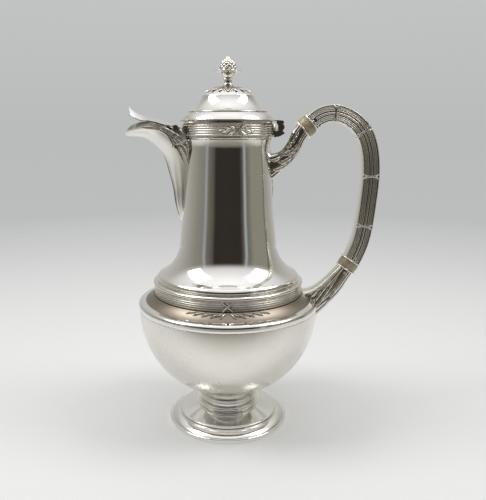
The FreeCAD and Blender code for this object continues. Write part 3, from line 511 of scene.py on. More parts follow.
neckCorners = [(51.6, 111.4), (51.6, 113.0), (52.6, 113.0), (50.4, 116.2, 4.0, "left"),
               (35.8, 138.0, 26.0, "right"), (33.2, 160.0), (30.6, 206.6), (31.9, 213.4, 18.0, "right"),
               (29.4, 213.4), (29.4, 208.4), (32.0, 160.0), (34.6, 138.0), (49.2, 115.0, 26.0, "left"),
               (50.4, 111.4)]
neck = turned("neckBarrel", neckCorners, "pot", brightSilver, ["neck"], step=1.6)
strainer = {"rows": 6, "hole": 3.0, "level": 168.0, "pitch": 6.0, "spread": 8.5, "from": 26, "to": 38}
row, column = np.meshgrid(np.arange(strainer["rows"]), np.array([-1, 0, 1]), indexing="ij")
holeLevel = (strainer["level"] + strainer["pitch"] * row + strainer["pitch"] / 2 * (column != 0)).ravel()
holeAim = np.radians(strainer["spread"] * column).ravel()
round24 = np.linspace(0, 2 * np.pi, 24, endpoint=False)[:, None]
holeGrids = []
for level, aim in zip(holeLevel, holeAim):
    out = np.array([-math.cos(aim), math.sin(aim), 0])
    beside = np.array([math.sin(aim), math.cos(aim), 0])
    ring = (np.cos(round24) * beside + np.sin(round24) * np.array([0, 0, 1.0])) * strainer["hole"] / 2
    near = np.array([0, 0, level]) + out * strainer["from"]
    far = np.array([0, 0, level]) + out * strainer["to"]
    rods = np.stack([near + 0 * ring, near + ring, far + ring, far + 0 * ring])
    holeGrids.append((rods, np.zeros(rods.shape[:2])))
drillPoints, drillQuads, drillRecess = merge(holeGrids)
drill = addMesh("strainerDrill", drillPoints, drillQuads, "pot", brightSilver, recess=drillRecess)
pierce = neck.modifiers.new("strainer", "BOOLEAN")
pierce.operation = "DIFFERENCE"
pierce.solver = "EXACT"
pierce.object = drill
pierced = bpy.data.meshes.new_from_object(neck.evaluated_get(bpy.context.evaluated_depsgraph_get()))
neck.modifiers.clear()
neck.data = pierced
bpy.data.objects.remove(drill)

collar = {"radius": 32.5, "level": 215.6, "pitch": 1.56, "bulge": 0.6, "count": 5}
turned("collarReeds", [(29.4, 213.4), (31.0, 213.4), (31.7, 214.3), (31.7, 215.1), (32.5, 215.1)]
       + reeds(**collar) + [(31.9, 224.3), (31.9, 225.5), (29.4, 225.5)],
       "pot", chasedSilver, ["collar"], reedRecess(collar), soften=0.12, step=0.4)


def collarRadius(level):
    # The radius over the crests of the collar's reeds.
    return 33.0 + 0 * level


def waistRadius(level):
    # The radius over the waist's reeds, its ridge and the chased plinth below.
    return np.interp(level, [96.6, 97.6, 99.2, 101.4, 108.7, 110.0], [61.2, 59.4, 57.3, 55.9, 55.0, 55.6])


def crossing(base, levels, reach, half, height):
    # Two ribbons that cross: one strip through (low, -reach), (middle, 0) and (high, reach), and its mirror
    # image, which is 0.1 lower.
    low, middle, high = levels
    return [strip(base, [(low, -reach), (middle, 0.0), (high, reach)], half, height),
            strip(base, [(high, -reach), (middle, 0.0), (low, reach)], half, height - 0.1)]


# Each leaf of the ribbons' sprays: on the collar how far out its middle lies and its middle and end levels,
# on the waist where it starts, how far out it ends and its end level.
collarSpray = ((4.6, 217.0, 216.6), (4.2, 221.6, 222.4), (8.0, 218.6, 217.4), (7.6, 220.8, 222.2),
               (10.6, 219.4, 219.4))
waistSpray = ((0.6, 6.0, 97.6), (1.2, 9.0, 98.6), (5.0, 12.5, 97.8), (7.0, 14.5, 99.6), (10.5, 18.5, 98.2),
              (12.5, 20.5, 99.9), (17.0, 24.5, 98.4), (19.0, 26.5, 99.9), (23.0, 30.0, 98.7))
for label, back in (("front", -1), ("back", 1)):
    base = onTurned(collarRadius, 78.5 * back)
    grids = crossing(base, (216.2, 219.2, 222.6), 3.4, 0.85, 0.55)
    for side in (-1, 1):
        for reach, middle, end in collarSpray:
            spine = [(219.3, side * (reach - 3.0)), (middle, side * reach), (end, side * (reach + 2.6))]
            grids.append(leaf(base, spine, 0.95, crown=0.7, groove=0.3, veins=0.0, rows=16, columns=9))
    addSet(f"collarRibbon{label.title()}", grids, "pot", [f"collar_ribbon_{label}"])
    base = onTurned(waistRadius, 90.0 * back)
    grids = crossing(base, (102.2, 105.2, 108.3), 3.6, 0.8, 0.6)
    for side in (-1, 1):
        for start, reach, end in waistSpray:
            spine = [(101.6 if start < 2 else 100.4, side * start),
                     ((end + 101.0) / 2, side * (start + reach) / 2), (end, side * reach)]
            grids.append(leaf(base, spine, 0.95, crown=0.8, groove=0.3, veins=0.0, rows=18, columns=9))
    addSet(f"waistRibbon{label.title()}", grids, "pot", [f"waist_ribbon_{label}"])
print("neck and collar made")

# Lid and finial

def seamShade(r, z, angle):
    # Painted shadow in the seam under the lid's edge, and darkening in the crease at the level c below the
    # dome, where it is 0.9 e^(-((z - c) / 0.35)^2).
    deep = (z < 226.0) * 1.0 + 0.9 * np.exp(-((z - 231.9) / 0.35) ** 2)
    return 0 * z + 0 * angle, deep + 0 * angle


turned("lidDome", [(27.9, 225.8), (34.4, 225.8), (34.4, 226.7), (33.2, 227.0), (28.5, 231.6, 12.0, "left"),
                   (27.9, 231.6), (27.9, 232.1), (28.3, 232.5), (18.6, 243.1, 17.0, "right"),
                   (1.6, 248.6, 20.0, "left"), (1.6, 247.4), (17.4, 242.7, 18.8, "right"),
                   (26.5, 231.3, 18.2, "left"), (27.9, 227.6)],
       "lid", brightSilver, ["lid_dome"], seamShade, step=0.6)
turned("lidBezel", [(26.9, 221.2), (27.9, 221.2), (27.9, 227.6), (26.9, 227.6)],
       "lid", brightSilver, ["lid_bezel"])


def domeRadius(u):
    # The lid's level at the radius u where the rosette lies: 228.82 + sqrt(400 - (u - 4.6)^2).
    return 228.82 + np.sqrt(np.maximum(400.0 - (u - 4.6) ** 2, 1.0))


def onDome(azimuth):
    # A base on the lid's top: u is the radius, v the way round.
    def base(u, v):
        angle = math.radians(azimuth) + v / np.maximum(u, 1.0)
        slope = (domeRadius(u + 0.05) - domeRadius(u - 0.05)) / 0.1
        place = np.stack([u * np.cos(angle), u * np.sin(angle), domeRadius(u)], -1)
        normal = unit(np.stack([-slope * np.cos(angle), -slope * np.sin(angle), np.ones_like(u)], -1))
        return place, normal
    return base


rosette = {"leaves": 16, "inner": 2.6, "outer": 16.6, "width": 3.1, "between": 2.0}
leaves = []
for k in range(rosette["leaves"]):
    turn = 360.0 / rosette["leaves"] * k
    spine = [(rosette["inner"], 0), (7.0, 0), (12.0, 0), (rosette["outer"], 0)]
    leaves.append(leaf(onDome(turn), spine, rosette["width"], crown=0.85, groove=0.5, veins=0.25, lift=0.9,
                       sink=0.2))
    spine = [(rosette["inner"], 0), (7.0, 0), (10.0, 0), (14.6, 0)]
    leaves.append(leaf(onDome(turn + 180.0 / rosette["leaves"]), spine, rosette["between"], crown=0.5,
                       groove=0.3, veins=0.15, sink=0.2, rows=18, columns=9))
addSet("lidRosette", leaves, "lid", ["lid_rosette"])

turned("finialStem", [(0, 242.2), (1.6, 242.2), (1.6, 249.6), (3.8, 249.6), (3.8, 250.4),
                      (2.8, 252.4, 3.0, "right"), (4.6, 256.8, 6.5, "right"), (0, 256.8)],
       "lid", brightSilver, ["finial_stem"], soften=0.2)


def dishRelief(r, z, angle):
    # Leaf points round the dish's edge: 0.2 (|cos 10a| - 1) high near the rim, with grooves between.
    edge = smoothStep(r, 5.5, 9.8) * (z > 259.9)
    wave = np.abs(np.cos(10 * angle))
    return edge * (0.2 * wave - 0.2), edge * (1 - wave) ** 2


turned("finialDish", [(0, 256.8), (4.6, 256.8), (10.0, 259.3, 8.0, "right"), (10.1, 260.1, 0.6, "left"),
                      (5.2, 260.6), (0, 260.6)],
       "lid", brightSilver, ["finial_dish"], dishRelief, soften=0.2, step=0.5)


def budRelief(r, z, angle):
    # Two crossing spirals of grooves leave pointed scales: sqrt |cos(4.5 a + k) cos(4.5 a - k)|, where
    # k grows with the level.
    rise = 1.15 * (z - 261.0)
    scale = np.sqrt(np.abs(np.cos(4.5 * angle + rise) * np.cos(4.5 * angle - rise)))
    on = smoothStep(z, 260.9, 261.6) * (1 - smoothStep(z, 266.6, 267.8))
    return on * (0.6 * scale - 0.5), on * np.clip(1 - 1.6 * scale, 0, 1)


turned("finialBud", [(0, 260.4), (5.2, 260.4), (6.0, 261.6), (5.8, 263.0), (2.0, 268.4, 8.0, "left"),
                     (0, 270.0, 2.2, "left")],
       "lid", chasedSilver, ["finial_bud"], budRelief, soften=0.2, step=0.2)
hingeBase = onTurned(collarRadius, 0)
addSet("hingeLeaves", [leaf(hingeBase, [(215.8, v), (218.6, v), (221.4, v), (224.0, v)], 2.3, crown=1.1,
                            groove=0.5, veins=0.2, sink=0.3) for v in (-5.2, 0.0, 5.2)], "pot")
print("lid and finial made")

# Spout

# Each section of the spout: keel x and z, centre x and z, half width.
spoutSections = np.array([
    (-33.8, 153.5, -27.0, 154.5, 2.0), (-35.6, 158.0, -26.5, 160.5, 8.0),
    (-37.6, 165.0, -26.0, 168.0, 9.6), (-39.2, 177.0, -25.5, 182.0, 10.2),
    (-42.0, 189.2, -25.0, 196.0, 12.0), (-46.2, 202.0, -24.6, 211.0, 15.4),
    (-53.0, 209.8, -24.4, 223.0, 17.0), (-61.5, 214.6, -24.2, 232.0, 17.0),
    (-73.2, 216.2, -24.0, 240.0, 17.0), (-74.2, 221.0, -24.0, 247.0, 17.0),
    (-73.0, 227.0, -24.0, 254.0, 17.0)])
spoutRim = np.array([
    (-80.0, 216.2), (-73.2, 216.2), (-71.4, 219.0), (-69.2, 221.6), (-65.6, 223.6), (-60.6, 225.1),
    (-54.8, 225.6), (-49.2, 224.6), (-44.3, 222.6), (-40.1, 220.0), (-24.8, 211.6), (-10.0, 203.0)])
neckWall = np.array([
    (138.0, 35.8), (160.0, 33.2), (208.4, 30.6), (213.3, 30.6), (213.5, 32.6), (225.5, 32.6)])


def spoutPoint(t, across):
    # The spout's wall at the section t: centre + out reach cos a + y half width sin a, with a = across times
    # the angle at which the section meets the neck.
    shape = spline(spoutSections, 0, t)
    out = shape[:, :2] - shape[:, 2:4]
    reach = np.linalg.norm(out, axis=1, keepdims=True)
    out = out / reach
    trial = np.linspace(0, np.pi / 2, 90)[None, :]
    x = shape[:, 2:3] + out[:, :1] * reach * np.cos(trial)
    z = shape[:, 3:4] + out[:, 1:] * reach * np.cos(trial)
    y = shape[:, 4:5] * np.sin(trial)
    wall = np.interp(z, neckWall[:, 0], neckWall[:, 1]) - 0.5
    outside = np.hypot(x, y) > wall
    limit = np.where(outside.all(1), np.pi / 2, trial[0][np.argmin(outside, 1)])
    angle = across * limit[:, None]
    return np.stack([shape[:, 2:3] + out[:, :1] * reach * np.cos(angle),
                     shape[:, 4:5] * np.sin(angle),
                     shape[:, 3:4] + out[:, 1:] * reach * np.cos(angle)], -1)


spoutRows, spoutColumns = 110, 97
sectionSteps = np.linspace(0, 1, 260)
across = np.linspace(-1, 1, spoutColumns)[None, :]
wallGrid = spoutPoint(sectionSteps, across)
rimLevel = np.interp(wallGrid[..., 0], spoutRim[:, 0], spoutRim[:, 1])
above = wallGrid[..., 2] > rimLevel
above[:40] = False
firstAbove = np.where(above.any(0), np.argmax(above, 0), len(sectionSteps) - 1)
gap = (wallGrid[..., 2] - rimLevel)
column = np.arange(spoutColumns)
low, high = gap[firstAbove - 1, column], gap[firstAbove, column]
endStep = (firstAbove - 1 + np.clip(-low / np.maximum(high - low, 1e-6), 0, 1))
share = np.linspace(0, 1, spoutRows)[:, None] * endStep[None, :]
whole = np.clip(share.astype(int), 0, len(sectionSteps) - 2)
part = (share - whole)[..., None]
spoutOuter = wallGrid[whole, column] * (1 - part) + wallGrid[whole + 1, column] * part
spoutNormal = gridNormals(spoutOuter)
if (spoutNormal[spoutRows // 2, spoutColumns // 2] @ np.array([-1.0, 0, 0])) < 0:
    spoutNormal = -spoutNormal
level = share / (len(sectionSteps) - 1)
rootward = 1 - smoothStep(level, 0.30, 0.62)
flute = 0.5 - 0.5 * np.cos(2 * np.pi * np.abs(across) * 2.5)
hollow = rootward * flute * smoothStep(level, 0.02, 0.12) * smoothStep(1 - np.abs(across), 0.0, 0.12)
spoutDeep = np.clip(hollow * 0.5, 0, 1)
spoutFace = spoutOuter - spoutNormal * (0.55 * hollow)[..., None]
spoutInner = spoutOuter - spoutNormal * 1.2
spoutRecess = np.pad(np.concatenate([spoutDeep, 0 * spoutDeep], 1), ((1, 1), (0, 0)))
addPiece("spoutShell", shell(spoutFace, spoutInner), "pot", brightSilver, stands=["spout"],
         recess=spoutRecess)


def onSpout(side):
    # A base on the spout's cheek: u runs from the root to the rim, v from the keel to the neck, both 0 to 1.
    def base(u, v):
        i = np.clip(u, 0, 1) * (spoutRows - 1)
        j = (np.clip(v, -1, 1) * side + 1) / 2 * (spoutColumns - 1)
        i0, j0 = np.clip(i.astype(int), 0, spoutRows - 2), np.clip(j.astype(int), 0, spoutColumns - 2)
        fi, fj = (i - i0)[..., None], (j - j0)[..., None]

        def blend(grid):
            return ((grid[i0, j0] * (1 - fj) + grid[i0, j0 + 1] * fj) * (1 - fi)
                    + (grid[i0 + 1, j0] * (1 - fj) + grid[i0 + 1, j0 + 1] * fj) * fi)
        return blend(spoutOuter), unit(blend(spoutNormal))
    return base


keelU = np.linspace(0.02, 0.86, 90)[:, None]
keelT = np.linspace(-1, 1, 9)[None, :]
keelHalf = 0.9 * smoothStep(keelU, 0.0, 0.1) * (1 - 0.75 * smoothStep(keelU, 0.45, 0.86)) + 0.05
keelPlace, keelNormal = onSpout(1)(keelU + 0 * keelT, 0 * keelU + 0 * keelT)
keelTop = keelPlace + np.array([0, 1.0, 0]) * (keelHalf * keelT)[..., None] \
    + keelNormal * (0.85 * keelHalf * np.sqrt(1 - keelT ** 2))[..., None]
keelUnder = keelPlace + np.array([0, 1.0, 0]) * (keelHalf * keelT)[..., None] - keelNormal * 0.3
addPiece("spoutKeelRib", shell(keelTop, keelUnder), "pot", brightSilver, stands=["spout_keel_rib"])
# Each cheek leaf: its (u, v) from its foot by the keel's side to its tip at the neck, half width and crown.
cheekLeaves = [
    ([(0.965, 0.60), (0.965, 0.72), (0.95, 0.85), (0.92, 0.985)], 0.046, 1.0),
    ([(0.94, 0.56), (0.925, 0.70), (0.895, 0.85), (0.85, 0.985)], 0.050, 1.1),
    ([(0.90, 0.54), (0.875, 0.68), (0.83, 0.83), (0.775, 0.97)], 0.050, 1.1),
    ([(0.97, 0.46), (0.90, 0.53), (0.80, 0.66), (0.70, 0.90)], 0.046, 1.0)]
for side, label in ((-1, "near"), (1, "far")):
    grids = [leaf(onSpout(side), spine, width, crown=crown, groove=0.4, veins=0.18, sink=0.25, rows=30)
             for spine, width, crown in cheekLeaves]
    addSet(f"spoutLeaves{label.title()}", grids, "pot", [f"spout_leaf_{label}"])
print("spout made")

# Spout cover

# The cover's ridge as (x, z) and its side as (x, y), both from the hinge to the tip.
coverRidge = [(-38.9, 223.2), (-44.0, 225.6), (-50.0, 227.6), (-56.5, 229.0), (-62.0, 230.8), (-66.4, 233.0),
              (-70.4, 236.2)]
coverSide = [(-38.9, 11.6), (-45.0, 15.2), (-52.0, 14.6), (-58.0, 12.4), (-63.5, 9.0), (-67.0, 5.8),
             (-69.4, 2.8), (-70.4, 0.2)]
coverDrop, coverThick = 2.3, 0.8
ridge = spline(coverRidge, 80)
sides = spline(coverSide, 200)
halfWidth = np.maximum(np.interp(ridge[:, 0], sides[::-1, 0], sides[::-1, 1]), 0.15)[:, None]
t = np.linspace(-1, 1, 49)[None, :]
easeTip = smoothStep(halfWidth, 0.0, 5.0)
easeHinge = 0.35 + 0.65 * smoothStep(-ridge[:, :1], 38.9, 46.0)
veins = 0.14 * (0.5 + 0.5 * np.cos(np.pi * 8 * t)) * (np.abs(t) > 0.06) + 0.25 * np.exp(-(t / 0.05) ** 2)
drop = coverDrop * (1 + 0.6 * smoothStep(-ridge[:, :1], 54.0, 62.0)) * easeTip * easeHinge
level = ridge[:, 1:] - drop * np.abs(t) ** 1.7 - veins * easeTip
coverTop = np.stack([ridge[:, :1] + 0 * t, halfWidth * t, level], -1)
coverUnder = coverTop - np.array([0, 0, coverThick])
coverDeep = np.concatenate([np.exp(-(t / 0.05) ** 2) * 0.7 + 0 * halfWidth, 0 * halfWidth * t], 1)
addPiece("spoutCoverLeaf", shell(coverTop, coverUnder), "spout_cover", brightSilver, stands=["flap_leaf"],
         recess=np.pad(coverDeep, ((1, 1), (0, 0)), mode="edge"))
print("spout cover made")

# Handle

sideways = np.array([0, 1.0, 0])
upperCentre, lowerCentre = np.array([56.1, 0, 222.3]), np.array([89.7, 0, 121.75])
upperAxis = np.array([math.cos(math.radians(40.5)), 0, math.sin(math.radians(40.5))])
lowerAxis = np.array([math.cos(math.radians(238.2)), 0, math.sin(math.radians(238.2))])
ringSizes = {"half": 3.2, "edge": 7.0, "belly": 10.5, "tenon": 3.4, "reach": 9.3, "flange": 7.9, "thick": 0.9}
jointFace = ringSizes["half"] + ringSizes["thick"]
gripPath = np.array([
    upperCentre + upperAxis * jointFace, (66.0, 0, 229.6), (75.5, 0, 231.2), (86.5, 0, 227.4),
    (95.9, 0, 218.4), (101.3, 0, 203.5), (102.6, 0, 187.0), (101.5, 0, 169.0), (99.6, 0, 151.0),
    (96.6, 0, 137.0), lowerCentre - lowerAxis * jointFace])


def placed(points, centre, axis):
    # Local points with z along the axis: x' = x (y cross axis), y' = y, z' = z axis.
    across = np.cross(sideways, axis)
    return centre + points[..., :1] * across + points[..., 1:2] * sideways + points[..., 2:] * axis


def turnedAlong(name, corners, centre, axis, material, stands):
    # A turned piece whose own axis lies along another line: the surface of revolution, then placed.
    profile, wrap = outline(corners, 0.2, 0.3)
    angle = np.linspace(0, 2 * np.pi, 96, endpoint=False)
    r, z = profile[:, :1], profile[:, 1:]
    local = np.stack([r * np.cos(angle), r * np.sin(angle), z + 0 * angle], -1)
    addPiece(name, placed(local, centre, axis), "pot", material, stands, wrapRows=wrap)


half, edge, tenon, reach = (ringSizes[key] for key in ("half", "edge", "tenon", "reach"))
ringCorners = [(0, -reach), (tenon, -reach), (tenon, -half), (edge, -half),
               (edge, half, ringSizes["belly"], "left"), (tenon, half), (tenon, reach), (0, reach)]
for end, centre, axis in (("upper", upperCentre, upperAxis), ("lower", lowerCentre, lowerAxis)):
    turnedAlong(end + "IvoryRing", ringCorners, centre, axis, ivory, [end + "_insulator"])
    for near, far in ((-jointFace, -half), (half, jointFace)):
        holder = "socket" if (near < 0) == (end == "upper") else "grip"
        corners = [(tenon, near), (ringSizes["flange"], near), (ringSizes["flange"], far, 0.6, "left"),
                   (tenon, far)]
        turnedAlong(f"{end}{holder.title()}Flange", corners, centre, axis, brightSilver,
                    [f"{end}_{holder}_flange"])

gripRows = 150
gripLine = spline(gripPath, gripRows)
gripAlong = unit(np.gradient(gripLine, axis=0))
gripAlong[0], gripAlong[-1] = upperAxis, lowerAxis
gripOut = np.stack([-gripAlong[:, 2], 0 * gripAlong[:, 0], gripAlong[:, 0]], 1)


def gripSection():
    # The grip's closed section as (outwards, sideways, depth of recess): plain vaults outside and inside,
    # and on each side two bundles of three reeds, a raised fillet between them and a bead along each edge.
    n = np.linspace(5.75, -5.75, 150)
    reed = np.abs(np.sin(np.pi * (np.abs(n) - 1.35) / 1.15)) ** 0.6
    bundle = (np.abs(n) > 1.35) & (np.abs(n) < 4.8)
    fillet = 0.75 * np.sqrt(np.clip(1 - (n / 0.85) ** 2, 0, 1))
    bead = 0.85 * np.sqrt(np.clip(1 - ((np.abs(n) - 5.4) / 0.36) ** 2, 0, 1)) * (np.abs(n) > 5.05)
    y = 5.15 + 0.55 * reed * bundle + fillet + bead
    deep = np.clip(1 - (y - 5.15) / 0.4, 0, 1)
    capY = np.linspace(-5.0, 5.0, 31)
    innerN = -5.75 - 0.55 * np.sqrt(1 - (capY / 5.01) ** 4)
    outerN = 5.75 + 0.55 * np.sqrt(1 - (capY / 5.01) ** 4)
    out = np.concatenate([n, innerN, n[::-1], outerN])
    side = np.concatenate([-y, capY, y[::-1], capY[::-1]])
    recess = np.concatenate([deep, 0 * capY, deep[::-1], 0 * capY])
    return out, side, recess


sectionOut, sectionSide, sectionDeep = gripSection()
gripGrid = (gripLine[:, None] + gripOut[:, None] * sectionOut[None, :, None]
            + sideways * sectionSide[None, :, None])
gripEnds = gripLine[[0, -1], None] + 0 * gripGrid[:2]
gripGrid = np.concatenate([gripEnds[:1], gripGrid, gripEnds[1:]])
addPiece("gripBar", gripGrid, "pot", chasedSilver, stands=["handle_grip"],
         recess=np.tile(sectionDeep, (gripRows + 2, 1)), sharp=60)


def tieBand(centreShare, phase):
    # One ribbon round the grip: its middle swings along the grip as 1.5 sin(2w + phase), w going once round.
    w = np.linspace(0, 2 * np.pi, 97)[:-1]
    outwards = np.sign(np.cos(w)) * np.abs(np.cos(w)) ** 0.35 * 6.45
    beside = np.sign(np.sin(w)) * np.abs(np.sin(w)) ** 0.35 * 6.1
    swing = 1.5 * np.sin(2 * w + phase)
    width = np.linspace(-0.5, 0.5, 7)
    total = np.linalg.norm(np.diff(gripLine, axis=0), axis=1).sum()
    where = np.clip(centreShare + (swing[:, None] + width[None, :]) / total, 0, 1) * (gripRows - 1)
    i = np.clip(where.astype(int), 0, gripRows - 2)
    f = (where - i)[..., None]
    line = gripLine[i] * (1 - f) + gripLine[i + 1] * f
    out = gripOut[i] * (1 - f) + gripOut[i + 1] * f
    vault = 0.18 * (1 - (width / 0.5) ** 2)
    top = line + out * (outwards[:, None] + np.cos(w)[:, None] * vault)[..., None] \
        + sideways * (beside[:, None] + np.sin(w)[:, None] * vault)[..., None]
    under = line + out * (outwards * 0.93)[:, None, None] + sideways * (beside * 0.92)[:, None, None]
    return np.concatenate([top, under[:, ::-1]], 1)


pathShare = np.concatenate([[0], np.cumsum(np.linalg.norm(np.diff(gripPath, axis=0), axis=1))])
pathShare = pathShare / pathShare[-1]
for tie, index in enumerate((2, 4, 6, 8), start=1):
    bands = [tieBand(pathShare[index], phase) for phase in (0, np.pi)]
    addSet(f"gripTie{tie}", [(band, np.zeros(band.shape[:2])) for band in bands], "pot", [f"grip_tie_{tie}"],
           wrapRows=True)
print("handle grip made")

# Handle sockets

# Each socket's upper and lower line as (x, z), from the ring to inside the pot's wall.
socketLines = {
    "upper": ([(48.7, 224.6), (46.0, 219.9), (43.4, 214.2), (40.8, 209.2), (38.0, 205.8), (34.5, 203.9),
               (29.0, 203.4)],
              [(57.3, 214.6), (54.2, 210.4), (51.6, 205.2), (48.3, 200.0), (44.6, 196.0), (39.8, 191.4),
               (29.0, 182.0)]),
    "lower": ([(81.9, 121.8), (76.8, 115.2), (70.9, 109.2), (65.0, 104.8), (59.7, 102.6), (50.0, 101.6)],
              [(93.1, 114.8), (90.0, 110.5), (86.6, 105.0), (82.3, 98.8), (77.2, 93.2), (71.5, 87.2),
               (58.0, 74.0)])}
potWall = np.array([
    (64.0, 60.0), (74.0, 62.6), (86.0, 64.8), (92.0, 66.5), (93.6, 66.6), (96.0, 64.3), (96.4, 61.4),
    (98.0, 58.8), (101.4, 55.7), (111.4, 55.7)])


def socketGrid(end, centre, axis, wall, rows=60, columns=96):
    # A socket from the ring's flange to the pot: the section cos^0.5, sin^0.45 carried between an upper and a
    # lower line, its last rows pressed onto the pot's wall, its sides relieved by long flutes.
    upper, lower = (spline(line, rows) for line in socketLines[end])
    faceSign = -1 if end == "upper" else 1
    first = centre + axis * (faceSign * jointFace)
    across = np.array([-axis[2], axis[0]]) if end == "upper" else np.array([axis[2], -axis[0]])
    ringTop = np.array([first[0], first[2]]) + across * 6.0
    ringLow = np.array([first[0], first[2]]) - across * 6.0
    ease = (1 - smoothStep(np.linspace(0, 1, rows), 0.0, 0.25))[:, None]
    upper = upper + ease * (ringTop - upper[0])
    lower = lower + ease * (ringLow - lower[0])
    w = np.linspace(0, 2 * np.pi, columns, endpoint=False)
    swell = np.sign(np.cos(w)) * np.abs(np.cos(w)) ** 0.5
    side = np.sign(np.sin(w)) * np.abs(np.sin(w)) ** 0.45
    middle, half = (upper + lower) / 2, (upper - lower) / 2
    s = np.linspace(0, 1, rows)[:, None]
    flutes = 0.35 * np.abs(np.sin(4 * np.pi * swell)) * (np.abs(side) > 0.5)
    depth = 6.0 - 0.4 * smoothStep(s, 0.0, 0.3) + 1.1 * smoothStep(s, 0.6, 1.0)
    x = middle[:, :1] + half[:, :1] * swell
    z = middle[:, 1:] + half[:, 1:] * swell
    y = side * (depth - flutes)
    radius = np.interp(z, wall[:, 0], wall[:, 1]) - 0.55
    target = np.sqrt(np.maximum(radius ** 2 - y ** 2, 1.0))
    press = smoothStep(s, 0.72, 1.0)
    x = np.where(x < target, target, x) * press + x * (1 - press)
    grid = np.stack([x, y, z], -1)
    grid[-1, :, 0] = target[-1]
    deep = np.clip(1 - np.abs(np.sin(4 * np.pi * swell)) * 1.2, 0, 1) * (np.abs(side) > 0.5) + 0 * s
    capFirst = grid[:1].mean(1, keepdims=True) + 0 * grid[:1]
    capLast = grid[-1:].mean(1, keepdims=True) + 0 * grid[-1:]
    grid = np.concatenate([capFirst, grid, capLast])
    return grid, np.concatenate([deep[:1], deep, deep[-1:]]), upper, lower, depth


def socketLeaves(upper, lower, depth, plan):
    # Leaves on both cheeks of a socket: u runs from the ring to the pot, v from the lower line to the upper.
    made = []
    for side in (-1, 1):
        def base(u, v):
            i = np.clip(u, 0, 1) * (len(upper) - 1)
            i0 = np.clip(i.astype(int), 0, len(upper) - 2)
            f = (i - i0)[..., None]
            top = upper[i0] * (1 - f) + upper[i0 + 1] * f
            low = lower[i0] * (1 - f) + lower[i0 + 1] * f
            xz = low + (top - low) * v[..., None]
            far = np.interp(u, np.linspace(0, 1, len(upper)), depth[:, 0])
            y = side * (far * (1 - 0.16 * np.abs(2 * v - 1) ** 4) - 0.25)
            place = np.stack([xz[..., 0], y, xz[..., 1]], -1)
            normal = np.zeros_like(place)
            normal[..., 1] = side
            return place, normal
        for spine, width in plan:
            made.append(leaf(base, spine, width, crown=0.75, groove=0.45, veins=0.22, veinCount=6, sink=0.3))
    return made


# Each leaf on a socket's cheek: its spine as (u, v) and its half width as a share of the cheek.
socketPlan = {
    "upper": [([(0.10, 0.30), (0.30, 0.36), (0.52, 0.55), (0.70, 0.84)], 0.10),
              ([(0.22, 0.14), (0.42, 0.22), (0.62, 0.36), (0.82, 0.62)], 0.10),
              ([(0.38, 0.10), (0.56, 0.12), (0.74, 0.22), (0.92, 0.42)], 0.09),
              ([(0.05, 0.62), (0.22, 0.62), (0.40, 0.72), (0.56, 0.92)], 0.08),
              ([(0.55, 0.86), (0.68, 0.80), (0.80, 0.66), (0.93, 0.72)], 0.07)],
    "lower": [([(0.12, 0.70), (0.34, 0.62), (0.56, 0.46), (0.76, 0.20)], 0.09),
              ([(0.26, 0.84), (0.48, 0.74), (0.68, 0.58), (0.88, 0.34)], 0.09),
              ([(0.44, 0.90), (0.62, 0.86), (0.80, 0.72), (0.95, 0.56)], 0.08),
              ([(0.06, 0.34), (0.26, 0.34), (0.46, 0.22), (0.62, 0.08)], 0.07)]}
socketShapes = {}
for end, centre, axis, wall in (("upper", upperCentre, upperAxis, neckWall),
                                ("lower", lowerCentre, lowerAxis, potWall)):
    grid, deep, *socketShapes[end] = socketGrid(end, centre, axis, wall)
    addPiece(end + "Socket", grid, "pot", chasedSilver, stands=[end + "_socket"], recess=deep)
for end, shape in socketShapes.items():
    addSet(end + "SocketFoliage", socketLeaves(*shape, socketPlan[end]), "pot")


def neckRadius(level):
    # The neck's outside radius at a level, along its straight upper part.
    return np.interp(level, [160.0, 206.6, 213.4], [33.2, 30.6, 31.9])


def bowlRadius(level):
    # The outside radius at a level: sqrt(65.8^2 - (level - 88.28)^2) + 0.23 on the bowl, straight runs above.
    curve = np.sqrt(np.maximum(65.8 ** 2 - (level - 88.28) ** 2, 1.0)) + 0.23
    return np.where(level < 90.5, curve, np.interp(level, [90.5, 92.0, 93.6, 96.0], [66.0, 66.8, 66.8, 64.8]))


def addTongues(end, radiusAt, route, lastLean, tips, width):
    # Three leaves that hang down the pot's wall; route gives each point's level and how far the outer two
    # leaves lean there, and tips the level of the outer and of the middle tips.
    made = []
    for lean in (-1, 0, 1):
        spine = [(level, lean * far) for level, far in route] + [(tips[lean == 0], lean * lastLean)]
        made.append(leaf(onTurned(radiusAt, 0), spine, width, crown=0.9, groove=0.45, veins=0.2, sink=0.3))
    addSet(end + "SocketTongues", made, "pot", [end + "_socket_leaf"])


addTongues("upper", neckRadius, [(206.0, 1.6), (196.0, 3.4), (186.0, 3.0)], 1.2, (178.0, 170.5), 2.2)
addTongues("lower", bowlRadius, [(95.0, 2.4), (86.0, 4.4), (79.0, 3.8)], 1.4, (72.5, 64.5), 2.4)
print("sockets made")

# Small parts that stay as they came

for name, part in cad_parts.items():
    if not part.hide_render:
        chased = any(word in name for word in ("ribbon", "leaf", "scroll"))
        part.data.materials.clear()
        part.data.materials.append(chasedSilver if chased else brightSilver)
print("small parts finished")

# Floor, light and camera

